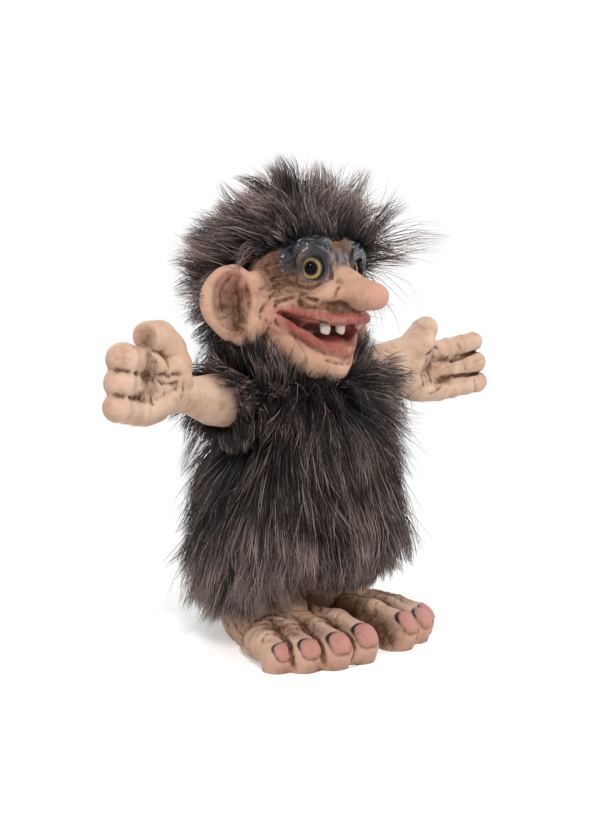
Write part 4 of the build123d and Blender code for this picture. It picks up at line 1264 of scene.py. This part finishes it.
def strand_mesh(name, lines, shades, radius):
    """Closed three-sided strands that taper to a point. Their map holds the shade and the way along."""
    count = len(lines)
    along = unit(np.gradient(lines, axis=1))
    side = unit(np.cross(along, np.roll(along[:, :1], 1, axis=2) + np.array([0.31, 0.17, 0.53])))
    other = np.cross(along, side)
    rings = LEVELS - 1
    sizes = radius * np.where(shades > PALE, 1.15, 1.0)[:, None] * STRAND_TAPER
    turns = np.arange(3) * 2 * math.pi / 3
    ring = (lines[:, :rings, None] + sizes[:, :, None, None] * (
        side[:, :rings, None] * np.cos(turns)[None, None, :, None]
        + other[:, :rings, None] * np.sin(turns)[None, None, :, None]))
    per = rings * 3 + 1
    points = np.concatenate([ring.reshape(count, rings * 3, 3), lines[:, -1:]], axis=1)
    quads = [(r * 3 + i, r * 3 + (i + 1) % 3, r * 3 + 3 + (i + 1) % 3, r * 3 + 3 + i)
             for r in range(rings - 1) for i in range(3)]
    tris = [(rings * 3 - 3 + i, rings * 3 - 3 + (i + 1) % 3, rings * 3) for i in range(3)] + [(2, 1, 0)]
    start = (np.arange(count) * per)[:, None, None]
    faces = ((np.array(quads)[None] + start).reshape(-1, 4).tolist()
             + (np.array(tris)[None] + start).reshape(-1, 3).tolist())
    mesh = bpy.data.meshes.new(name)
    mesh.from_pydata((points.reshape(-1, 3) * MM).tolist(), [], faces)
    lane = np.clip((shades * LANES).astype(int), 0, LANES - 1) / LANES
    quad_map = np.array([[(0.1, r), (0.9, r), (0.9, r + 1), (0.1, r + 1)]
                         for r in range(rings - 1) for _ in range(3)])
    tip = [(0.1, rings - 1), (0.9, rings - 1), (0.5, rings)]
    root = [(0.1, 0), (0.9, 0), (0.5, 0.1)]
    tri_map = np.array([tip] * 3 + [root])
    scale = np.array([1 / LANES, 1 / rings])
    parts = []
    for block in (quad_map, tri_map):
        spread = np.broadcast_to(block[None] * scale, (count, *block.shape)).copy()
        spread[..., 0] += lane[:, None, None]
        parts.append(spread.reshape(-1, 2))
    chart = mesh.uv_layers.new(name=STRAND_MAP)
    chart.data.foreach_set("uv", np.concatenate(parts).astype(np.float32).ravel())
    for polygon in mesh.polygons:
        polygon.use_smooth = True
    mesh.validate()
    piece = bpy.data.objects.new(name, mesh)
    bpy.context.scene.collection.objects.link(piece)
    return piece


def strand_pieces(name, lines, shades, radius, order, finish, body, node):
    """Makes the strands as several pieces, each a run of neighbours."""
    rank = np.argsort(order, kind="stable")
    count = math.ceil(len(rank) / PIECE_STRANDS)
    for index, part in enumerate(np.array_split(rank, count)):
        piece = strand_mesh(f"{name}_{index + 1}", lines[part], shades[part], radius)
        piece.data.materials.append(finish)
        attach(piece, body)
        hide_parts(node)


# The coat's radius at heights from the hem to the collar
COAT_PROFILE = np.array([(16, 30.8), (26, 30.8), (41, 32.4), (56, 32.8), (75, 31.2), (92, 26.8), (106, 15.8)],
                        float)
COAT_WIDEST = 33.0
COAT_HEM = 16.0
COAT_TOP = 105.8
COLLAR_HEM = 97.0
# Below FRONT_HEM the fur grows only behind HEM_BACK
FRONT_HEM = 27.5
HEM_BACK = 16.0
BACKING_LOW = 16.5
BACKING_HEIGHT = 88.5
BACKING_INSET = 0.6
SHEET_THICKNESS = 1.0
FOOT_OPENING_TOP = 27.0
FOOT_OPENING_BACK = 20.0
ARMHOLE_RADIUS = 11.0
SLEEVE_RADIUS = 10.2
SLEEVE_START = -9.0
# Fur on the arms: the side, how far down the arm it grows, and its strands
SLEEVES = ((-1, 23.0, 3700), (1, 8.0, 2700), (1, 24.0, 3000))
COLLAR_STRANDS = 4300
RUFF_STRANDS = 3400
RUFF_REACH = 9.0
BODY_TUFTS = 800
COLLAR_TUFTS = 160
SLEEVE_TUFTS = 90
RUFF_TUFTS = 160
# Tuft numbers set aside for each arm and each shoulder
TUFT_BLOCK = 1000
COAT_SEED = 11
COAT_SHADE_SEED = 3
COAT_PALE = 0.97
# How far single strands and whole tufts stray, the share that flies away, and the least pull on the others
COAT_STRAY = 0.14
COAT_TUFT_STRAY = 0.13
COAT_FLYAWAY = 0.1
COAT_PULL = 0.45
# Ends sway by the drift this far off, so that they part from their roots
COAT_BEYOND = 40.0
FLOOR_CLEARANCE = 1.0


def coat_radius(z):
    """The backing's radius at each height."""
    return np.interp(z, COAT_PROFILE[:, 0], COAT_PROFILE[:, 1])


def arm_line(side):
    """Where an arm leaves the body, and its direction."""
    start = np.array([side * SHOULDER.x, SHOULDER.y, SHOULDER.z])
    return start, np.array([side * ARM_AXIS.x, ARM_AXIS.y, ARM_AXIS.z])


def arm_away(points, side):
    """How far points are from an arm's line."""
    start, axis = arm_line(side)
    offset = points - start
    return np.linalg.norm(offset - (offset @ axis)[:, None] * axis, axis=1)


def in_armholes(points):
    """Which points lie in the openings for the arms."""
    left = (arm_away(points, 1) < ARMHOLE_RADIUS) & (points[:, 0] > 0)
    right = (arm_away(points, -1) < ARMHOLE_RADIUS) & (points[:, 0] < 0)
    return left | right


def coat_roots(count, draw, lowest=COAT_HEM):
    """Places and outward directions on the coat's backing, from a height up to the collar."""
    z = draw.uniform(lowest, COAT_TOP, count * 4)
    keep = draw.uniform(0, COAT_WIDEST, len(z)) < coat_radius(z)
    z = z[keep]
    angle = draw.uniform(-math.pi, math.pi, len(z))
    r = coat_radius(z)
    slope = coat_radius(z + 0.5) - coat_radius(z - 0.5)
    roots = np.stack([r * np.cos(angle), r * np.sin(angle), z], 1)
    outward = unit(np.stack([np.cos(angle), np.sin(angle), -slope], 1))
    free = ~in_armholes(roots)
    free &= (z > FRONT_HEM) | (roots[:, 1] > HEM_BACK)
    return roots[free][:count], outward[free][:count]


def sleeve_roots(count, side, reach, draw):
    """Places and outward directions round an arm, inside the sleeve, and the arm's direction."""
    start, axis = arm_line(side)
    up = unit(UP - axis * axis[2])
    across = np.cross(axis, up)
    angle = draw.uniform(-math.pi, math.pi, count)
    under = np.clip(-np.cos(angle), 0, 1)
    s = SLEEVE_START + draw.uniform(0, 1, count) * (reach * (1 - 0.2 * under) - SLEEVE_START)
    outward = np.cos(angle)[:, None] * up + np.sin(angle)[:, None] * across
    return start + s[:, None] * axis + outward * SLEEVE_RADIUS, outward, axis


class TROLL_OT_coat(bpy.types.Operator):
    """Grows the coat's long pile and cuts its knitted backing"""
    bl_idname = "troll.coat"
    bl_label = "Coat"

    def execute(self, context):
        fur = context.scene.troll_fur
        draw = np.random.default_rng(COAT_SEED)
        sway = Drift(seed=5, size=42.0)
        swirl = Drift(seed=6, size=13.0)
        longest = fur.coat_length / MM

        def body_lines(roots, outward, jitter):
            """Fur that hangs down the body and stands up round the collar."""
            count = len(roots)
            z = roots[:, 2:]
            beyond = roots + COAT_BEYOND
            flat = unit(outward * np.array([1, 1, 0.0]))
            fall = unit(DOWN - outward * (outward @ DOWN)[:, None])
            collar = ramp(z, 91, 8)
            side = np.clip(1.1 + 1.3 * flat[:, 1:2], 0, 1)
            rise = ramp(z, 102.5, 2) * (1 - side) + side
            lift = ramp(z, 30, 50)
            inmost = ramp(z, 102.0, 3)
            loose = draw.normal(size=(count, 3)) * jitter
            ahead = np.clip(flat @ FRONT_LEFT, 0, 1)[:, None]
            hang = (0.36 + 0.34 * lift) * (1 - 0.5 * ahead) * outward + 0.85 * fall
            stand = (0.5 - 0.65 * inmost) * flat - (1.2 * rise - 0.15) * DOWN
            set_off = (1 - collar) * hang + collar * stand
            first = unit(set_off + 0.32 * sway.at(roots) + 0.25 * swirl.at(roots) + loose)
            spread = 0.02 + 0.12 * lift + (0.5 - 0.6 * inmost) * collar
            drop = 1 - (1.25 + 0.3 * side) * collar * rise
            end = spread * flat + drop * DOWN
            last = unit(end + 0.26 * sway.at(beyond) + 0.2 * swirl.at(beyond) + loose)
            turned = np.degrees(np.arccos(np.clip(-flat[:, 1], -1, 1)))
            hem = np.interp(turned, [0, 45, 90, 180], [34, 32, 17, 9])
            room = np.clip(roots[:, 2] - hem, 0, None) * 1.1 + 7.0
            tall = longest * (1 - (0.7 - 0.4 * side[:, 0]) * collar[:, 0] * rise[:, 0])
            lengths = np.minimum(tall, room) * draw.uniform(0.62, 1.08, count)
            return lay(roots, first, last, lengths, 0.8, swirl, 0.16)

        def arm_lines(roots, outward, axis, jitter):
            """Fur that follows the arm on top and hangs down beneath it."""
            count = len(roots)
            beyond = roots + COAT_BEYOND
            loose = draw.normal(size=(count, 3)) * jitter
            under = np.clip(-outward[:, 2:], 0, 1)
            set_off = 0.6 * outward + (0.7 - 0.6 * under) * axis + 0.2 * DOWN
            first = unit(set_off + 0.35 * sway.at(roots) + loose)
            fall = draw.uniform(0.1, 1.0, (count, 1))
            end = 0.2 * outward + (1.1 - 0.6 * fall - under) * axis + (fall + under) * DOWN
            last = unit(end + 0.35 * sway.at(beyond) + loose)
            lengths = draw.uniform(11, 22, count) * (1 - 0.45 * under[:, 0])
            return lay(roots, first, last, lengths, 0.8, swirl, 0.16)

        def ruff_lines(roots, outward, side, jitter):
            """Fur that flares up and out over a shoulder."""
            beyond = roots + COAT_BEYOND
            loose = draw.normal(size=(len(roots), 3)) * jitter
            first = unit(0.35 * outward - 0.9 * DOWN + 0.3 * sway.at(roots) + loose)
            flare = np.array([0.45 * side, -0.1, 0.75])
            last = unit(flare + 0.4 * sway.at(beyond) + 0.2 * swirl.at(roots) + loose)
            return lay(roots, first, last, draw.uniform(14, 27, len(roots)), 0.9, swirl, 0.2)

        def tufted(grow, roots, outward, seeds, seed_out, *how):
            """Strands drawn together in tufts, one round each seed."""
            owner = nearest(roots, seeds)
            own = grow(roots, outward, *how, COAT_STRAY)
            leaders = grow(seeds, seed_out, *how, COAT_TUFT_STRAY)
            pull = pulls(draw, len(roots), COAT_FLYAWAY, COAT_PULL)
            return gather(own, leaders, owner, pull), roots, owner

        groups = [tufted(body_lines, *coat_roots(fur.coat_strands, draw), *coat_roots(BODY_TUFTS, draw))]
        groups.append(tufted(body_lines, *coat_roots(COLLAR_STRANDS, draw, COLLAR_HEM),
                             *coat_roots(COLLAR_TUFTS, draw, COLLAR_HEM)))
        for side, reach, count in SLEEVES:
            roots, outward, axis = sleeve_roots(count, side, reach, draw)
            seeds, seed_out, _ = sleeve_roots(SLEEVE_TUFTS, side, reach, draw)
            lines, roots, owner = tufted(arm_lines, roots, outward, seeds, seed_out, axis)
            groups.append((lines, roots, owner + TUFT_BLOCK * (2 + side)))
        for side in (-1, 1):
            roots, outward, _ = sleeve_roots(RUFF_STRANDS, side, RUFF_REACH, draw)
            seeds, seed_out, _ = sleeve_roots(RUFF_TUFTS, side, RUFF_REACH, draw)
            high = outward[:, 2] > 0.1
            seed_high = seed_out[:, 2] > 0.1
            lines, roots, owner = tufted(ruff_lines, roots[high], outward[high], seeds[seed_high],
                                         seed_out[seed_high], side)
            groups.append((lines, roots, owner + TUFT_BLOCK * (5 + side)))
        lines, roots, owner = (np.concatenate(part) for part in zip(*groups))
        tuft = np.random.default_rng(COAT_SHADE_SEED).uniform(0, 1, owner.max() + 1)[owner]
        low = ramp(96 - roots[:, 2], 0, 45)
        far = ramp(roots[:, 0], 34, 8)
        scatter = draw.normal(0, SHADE_SCATTER, len(roots))
        shades = 0.01 + 0.44 * low + 0.3 * far + (tuft - 0.5) + scatter
        pale = draw.uniform(0, 1, len(roots)) < 0.05 + 0.09 * low
        shades = np.where(pale, COAT_PALE, np.clip(shades, *SHADES))
        lines[..., 2] = np.maximum(lines[..., 2], FLOOR_CLEARANCE)
        order = np.arctan2(roots[:, 1], roots[:, 0])
        strand_pieces("coat_fur", lines, shades, fur.strand_radius / MM, order,
                      fur_finish("coat_fur_strands", (1.0, 1.0, 1.0)), "torso", "coat_pile")
        self.backing()
        return {"FINISHED"}

    def backing(self):
        """The knitted tube under the pile, open at the arms, the neck and the feet."""
        select_nothing()
        bpy.ops.mesh.primitive_grid_add(x_subdivisions=130, y_subdivisions=50, size=1.0)
        piece = bpy.context.object
        piece.name = "coat_knit_backing"
        mesh = piece.data
        grid = mesh_points(mesh)
        angle = grid[:, 0] * 2 * math.pi
        z = BACKING_LOW + (grid[:, 1] + 0.5) * BACKING_HEIGHT
        r = coat_radius(z) - BACKING_INSET
        points = np.stack([r * np.cos(angle), r * np.sin(angle), z], 1)
        mesh.vertices.foreach_set("co", (points * MM).astype(np.float32).ravel())
        feet = (points[:, 2] < FOOT_OPENING_TOP) & (points[:, 1] < FOOT_OPENING_BACK)
        delete_points(piece, in_armholes(points) | feet)
        bpy.ops.object.mode_set(mode="EDIT")
        bpy.ops.mesh.select_all(action="SELECT")
        bpy.ops.mesh.remove_doubles(threshold=0.01 * MM)
        bpy.ops.object.mode_set(mode="OBJECT")
        apply_modifier(piece, "SOLIDIFY", thickness=SHEET_THICKNESS * MM, offset=0.0)
        mesh.materials.append(knit_finish("coat_backing_knit"))
        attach(piece, "torso")
        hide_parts("coat_backing")


NAPE = 121.0
# Hair in two lots: its share of the strands, its tufts, its share of the length, and how far tufts stray
HAIR_LOTS = ((0.62, 420, 0.40, 0.25), (0.38, 110, 1.0, 0.42))
HAIR_SEED = 21
HAIR_PALE = 0.95
HAIR_PALE_SHARE = 0.09
# How far single hairs stray, the share that flies away, and the least pull on the others
HAIR_STRAY = 0.16
HAIR_FLYAWAY = 0.2
HAIR_PULL = 0.3
HAIR_BEYOND = 30.0


def hairline_forward(z):
    """How far forward the hair may grow at each height."""
    return np.interp(z, [110, 150, 157, 163, 168.0, 205], [8.0, 7.0, 1.5, -7.0, -22.0, -26.0])


def hair_roots(count, draw, skin):
    """Places and outward directions on the wig's cap and down to the hairline."""
    outward = unit(draw.normal(size=(count * 4, 3)))
    roots = SKULL + outward * (SKULL_RADIUS + 1.6)
    lower_left = 5.0 * np.clip(roots[:, 0] / 18, 0, 1) ** 2
    free = (roots[:, 1] > hairline_forward(roots[:, 2] + lower_left) + 0.5) & (roots[:, 2] > NAPE + 0.5)
    roots, outward = roots[free][:count], outward[free][:count]
    for index in np.nonzero((roots[:, 2] > 158) & (roots[:, 1] < 4))[0]:
        far = Vector(SKULL + outward[index] * 60) * MM
        hit = skin.ray_cast(far, -Vector(outward[index]))[0]
        reach = np.linalg.norm(np.array(hit) / MM - SKULL)
        roots[index] = SKULL + outward[index] * max(reach - 0.3, SKULL_RADIUS + 1.2)
    return roots, outward


class TROLL_OT_wig(bpy.types.Operator):
    """Grows the wild hair and shapes its knitted cap"""
    bl_idname = "troll.wig"
    bl_label = "Wig"

    def execute(self, context):
        fur = context.scene.troll_fur
        draw = np.random.default_rng(HAIR_SEED)
        sway = Drift(seed=8, size=34.0)
        swirl = Drift(seed=9, size=13.0)
        longest = fur.hair_length / MM
        skin = BVHTree.FromObject(bpy.data.objects["troll_head"], context.evaluated_depsgraph_get())

        def hair_lines(roots, outward, jitter, shortest, longest):
            """Hair that stands out all round and parts on the front left of the crown."""
            count = len(roots)
            x, y, z = roots[:, :1], roots[:, 1:2], roots[:, 2:]
            beyond = roots + HAIR_BEYOND
            loose = draw.normal(size=(count, 3)) * jitter
            top = ramp(z, 146, 26)
            front = ramp(-y, 2, 12)
            sweep = np.clip(x / 18, -1, 1) * np.array([0, -0.5, 0])
            part = np.tanh(((roots - SKULL) @ FRONT_LEFT - 13.0) / 6)[:, None] * 0.5 * top * FRONT_LEFT
            away = part + (1 - 0.6 * front) * outward
            set_off = away + (1 - top) * sweep + (0.2 * top + 0.75 * front) * UP
            first = unit(set_off + 0.45 * sway.at(roots) + 0.3 * swirl.at(roots) + loose)
            end = away + (1 - top) * (1.3 * sweep - 0.45 * UP) + (0.2 * top + 0.8 * front) * UP
            last = unit(end + 0.65 * sway.at(beyond) + 0.45 * swirl.at(beyond) + loose)
            back = np.clip(outward[:, 1], 0, 1)
            crown = ramp(roots[:, 2], 160, 20)
            aside = np.interp(roots[:, 0], [-20, 0, 15], [0.68, 0.92, 1.0])
            lengths = longest * (1 - 0.42 * crown - 0.1 * front[:, 0]) * (1 - 0.42 * back)
            lengths *= aside * draw.uniform(shortest, 1.0, count)
            return lay(roots, first, last, lengths, 0.9, swirl, 0.22)

        groups = []
        for share, tufts, reach, stray in HAIR_LOTS:
            roots, outward = hair_roots(int(fur.hair_strands * share), draw, skin)
            seeds, seed_out = hair_roots(tufts, draw, skin)
            owner = nearest(roots, seeds)
            tall = longest * reach * np.random.default_rng(tufts + 1).uniform(0.5, 1.15, len(seeds))
            own = hair_lines(roots, outward, HAIR_STRAY, 0.5, tall[owner])
            leaders = hair_lines(seeds, seed_out, stray, 0.9, tall)
            lines = gather(own, leaders, owner, pulls(draw, len(roots), HAIR_FLYAWAY, HAIR_PULL))
            tuft = np.random.default_rng(tufts).uniform(0, 1, len(seeds))[owner]
            shades = 0.38 + 0.9 * (tuft - 0.5) + draw.normal(0, SHADE_SCATTER, len(roots))
            groups.append((lines, roots, np.clip(shades, *SHADES)))
        lines, roots, shades = (np.concatenate(part) for part in zip(*groups))
        shades = np.where(draw.uniform(0, 1, len(roots)) < HAIR_PALE_SHARE, HAIR_PALE, shades)
        order = np.arctan2(roots[:, 1] - SKULL[1], roots[:, 0])
        strand_pieces("wig_hair", lines, shades, fur.strand_radius / MM, order,
                      fur_finish("wig_hair_strands", (0.92, 0.9, 0.9)), "head", "wig_mane")
        self.cap()
        return {"FINISHED"}

    def cap(self):
        """The knitted cap under the hair."""
        select_nothing()
        bpy.ops.mesh.primitive_ico_sphere_add(subdivisions=6, radius=(SKULL_RADIUS + 1.0) * MM,
                                              location=SKULL * MM)
        piece = bpy.context.object
        piece.name = "wig_knit_cap"
        bpy.ops.object.transform_apply(location=True, rotation=True, scale=True)
        mesh = piece.data
        points = mesh_points(mesh) / MM
        delete_points(piece, (points[:, 1] < hairline_forward(points[:, 2])) | (points[:, 2] < NAPE))
        apply_modifier(piece, "SOLIDIFY", thickness=SHEET_THICKNESS * MM, offset=0.0)
        mesh.materials.append(knit_finish("wig_cap_knit"))
        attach(piece, "head")
        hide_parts("wig_backing")


class TROLL_OT_inside(bpy.types.Operator):
    """Finishes the hidden core, dowels, pegs, bushes and washers"""
    bl_idname = "troll.inside"
    bl_label = "Inside"

    def execute(self, context):
        core = wood_finish("core_pine", (0.62, 0.42, 0.24), (0.42, 0.25, 0.12))
        peg = wood_finish("peg_beech", (0.66, 0.48, 0.30), (0.5, 0.33, 0.19))
        plastic = plastic_finish("pivot_nylon", (0.03, 0.03, 0.032))
        give("torso_core", core)
        give("neck_peg", peg)
        give("neck_bush", plastic)
        give("neck_washer", plastic)
        for name, _ in SIDES:
            give(f"{name}_leg_dowel", peg)
            give(f"{name}_arm_peg", peg)
            give(f"{name}_shoulder_bush", plastic)
            give(f"{name}_shoulder_washer", plastic)
        return {"FINISHED"}


# Stage


VIEW_TURN = math.radians(-50.0)
VIEW_RISE = math.radians(5.5)
VIEW_ROLL = math.radians(1.0)
VIEW_TARGET = Vector((0.0, 0.0, 0.092))
VIEW_DISTANCE = 0.55
VIEW_LENS = 56.1
# Each lamp: its place, its size and its power
LAMPS = {"key": ((-0.75, -0.75, 1.0), 0.36, 11.0),
         "fill": ((0.9, -0.7, 0.6), 0.9, 5.0),
         "rim": ((0.3, 1.0, 0.9), 0.8, 5.0)}
LAMP_TARGET = Vector((0, 0, 0.1))
FLOOR_GLOW = 0.35
WORLD_STRENGTH = 0.42
WHITE = (1.0, 1.0, 1.0, 1.0)
# Rays that meet plain white, as the camera's own do
CLEAR_RAYS = ("Is Glossy Ray", "Is Transmission Ray")


class TROLL_OT_stage(bpy.types.Operator):
    """Sets the pale floor, the soft lights and the camera"""
    bl_idname = "troll.stage"
    bl_label = "Stage"

    def execute(self, context):
        scene = context.scene
        scene.view_settings.view_transform = "Standard"
        self.floor()
        self.lamps()
        self.camera(scene)
        self.world(scene)
        return {"FINISHED"}

    def floor(self):
        """A floor that takes the figure's shadow and is plain white further off."""
        select_nothing()
        bpy.ops.mesh.primitive_plane_add(size=8.0, location=(0, 0, 0))
        floor = bpy.context.object
        floor.name = "stage_floor"
        f = Finish("stage_white")
        light = f.node("ShaderNodeLightPath")
        seen = light.out("Is Camera Ray")
        for ray in CLEAR_RAYS:
            seen = seen.at_least(light.out(ray))
        away = f.node("ShaderNodeVectorMath", {"operation": "LENGTH"}, {0: f.place()}).out("Value")
        cloth = f.node("ShaderNodeBsdfDiffuse", None, {"Color": (0.9, 0.9, 0.9)})
        glow = f.node("ShaderNodeEmission", None, {"Color": (1.0, 1.0, 1.0), "Strength": FLOOR_GLOW})
        white = f.node("ShaderNodeEmission", None, {"Color": (1.0, 1.0, 1.0), "Strength": 1.0})
        bright = f.node("ShaderNodeAddShader", None, {0: cloth.out(0), 1: glow.out(0)})
        fade = away.over(0.16, 0.34)
        near = f.node("ShaderNodeMixShader", None, {0: fade, 1: bright.out(0), 2: white.out(0)})
        mixed = f.node("ShaderNodeMixShader", None, {0: seen, 1: cloth.out(0), 2: near.out(0)})
        f.node("ShaderNodeOutputMaterial", None, {"Surface": mixed.out(0)})
        floor.data.materials.append(f.material)

    def lamps(self):
        """Round area lamps that point at the figure."""
        for name, (place, size, power) in LAMPS.items():
            lamp = bpy.data.lights.new(f"stage_{name}", "AREA")
            lamp.shape = "DISK"
            lamp.size = size
            lamp.energy = power
            holder = bpy.data.objects.new(f"stage_{name}", lamp)
            bpy.context.scene.collection.objects.link(holder)
            holder.location = place
            holder.rotation_euler = (LAMP_TARGET - Vector(place)).to_track_quat("-Z", "Y").to_euler()

    def camera(self, scene):
        """A camera where the photo was taken from."""
        lens = bpy.data.cameras.new("stage_camera")
        lens.lens = VIEW_LENS
        lens.sensor_width = 36.0
        lens.clip_start = 0.01
        lens.clip_end = 50.0
        camera = bpy.data.objects.new("stage_camera", lens)
        scene.collection.objects.link(camera)
        back = Vector((math.sin(VIEW_TURN) * math.cos(VIEW_RISE), -math.cos(VIEW_TURN) * math.cos(VIEW_RISE),
                       math.sin(VIEW_RISE)))
        camera.location = VIEW_TARGET + back * VIEW_DISTANCE
        camera.rotation_mode = "QUATERNION"
        camera.rotation_quaternion = (-back).to_track_quat("-Z", "Y") @ Quaternion((0, 0, 1), VIEW_ROLL)
        scene.camera = camera

    def world(self, scene):
        """Soft light all round, plain white to the camera and in reflections."""
        world = bpy.data.worlds.new("stage_world")
        world.use_nodes = True
        scene.world = world
        tree = world.node_tree
        tree.nodes.clear()
        light = tree.nodes.new("ShaderNodeLightPath")
        soft = tree.nodes.new("ShaderNodeBackground")
        soft.inputs["Color"].default_value = WHITE
        soft.inputs["Strength"].default_value = WORLD_STRENGTH
        white = tree.nodes.new("ShaderNodeBackground")
        white.inputs["Color"].default_value = WHITE
        white.inputs["Strength"].default_value = 1.0
        mix = tree.nodes.new("ShaderNodeMixShader")
        out = tree.nodes.new("ShaderNodeOutputWorld")
        seen = light.outputs["Is Camera Ray"]
        for ray in CLEAR_RAYS:
            either = tree.nodes.new("ShaderNodeMath")
            either.operation = "MAXIMUM"
            tree.links.new(seen, either.inputs[0])
            tree.links.new(light.outputs[ray], either.inputs[1])
            seen = either.outputs[0]
        tree.links.new(seen, mix.inputs[0])
        tree.links.new(soft.outputs[0], mix.inputs[1])
        tree.links.new(white.outputs[0], mix.inputs[2])
        tree.links.new(mix.outputs[0], out.inputs["Surface"])


class TROLL_PT_panel(bpy.types.Panel):
    """Lists the figure's pieces"""
    bl_idname = "TROLL_PT_panel"
    bl_label = "Troll figure"
    bl_space_type = "VIEW_3D"
    bl_region_type = "UI"
    bl_category = "Troll"

    def draw(self, context):
        for step in STEPS:
            self.layout.operator(step.bl_idname)
        for group in GROUPS:
            settings = getattr(context.scene, group)
            for name in settings.__annotations__:
                self.layout.prop(settings, name)


STEPS = (TROLL_OT_stage, TROLL_OT_inside, TROLL_OT_head, TROLL_OT_teeth, TROLL_OT_eyes, TROLL_OT_arms,
         TROLL_OT_feet, TROLL_OT_coat, TROLL_OT_wig)
GROUPS = {"troll_skin": TrollSkin, "troll_fur": TrollFur, "troll_eyes": TrollEyes}


def register():
    for name, group in GROUPS.items():
        bpy.utils.register_class(group)
        setattr(bpy.types.Scene, name, bpy.props.PointerProperty(type=group))
    for step in STEPS:
        bpy.utils.register_class(step)
    bpy.utils.register_class(TROLL_PT_panel)


def unregister():
    bpy.utils.unregister_class(TROLL_PT_panel)
    for step in reversed(STEPS):
        bpy.utils.unregister_class(step)
    for name, group in GROUPS.items():
        delattr(bpy.types.Scene, name)
        bpy.utils.unregister_class(group)


def main():
    register()
    bpy.ops.troll.stage()
    bpy.ops.troll.inside()
    bpy.ops.troll.head()
    bpy.ops.troll.teeth()
    bpy.ops.troll.eyes()
    bpy.ops.troll.arms()
    bpy.ops.troll.feet()
    bpy.ops.troll.coat()
    bpy.ops.troll.wig()


if __name__ == "__main__":
    main()
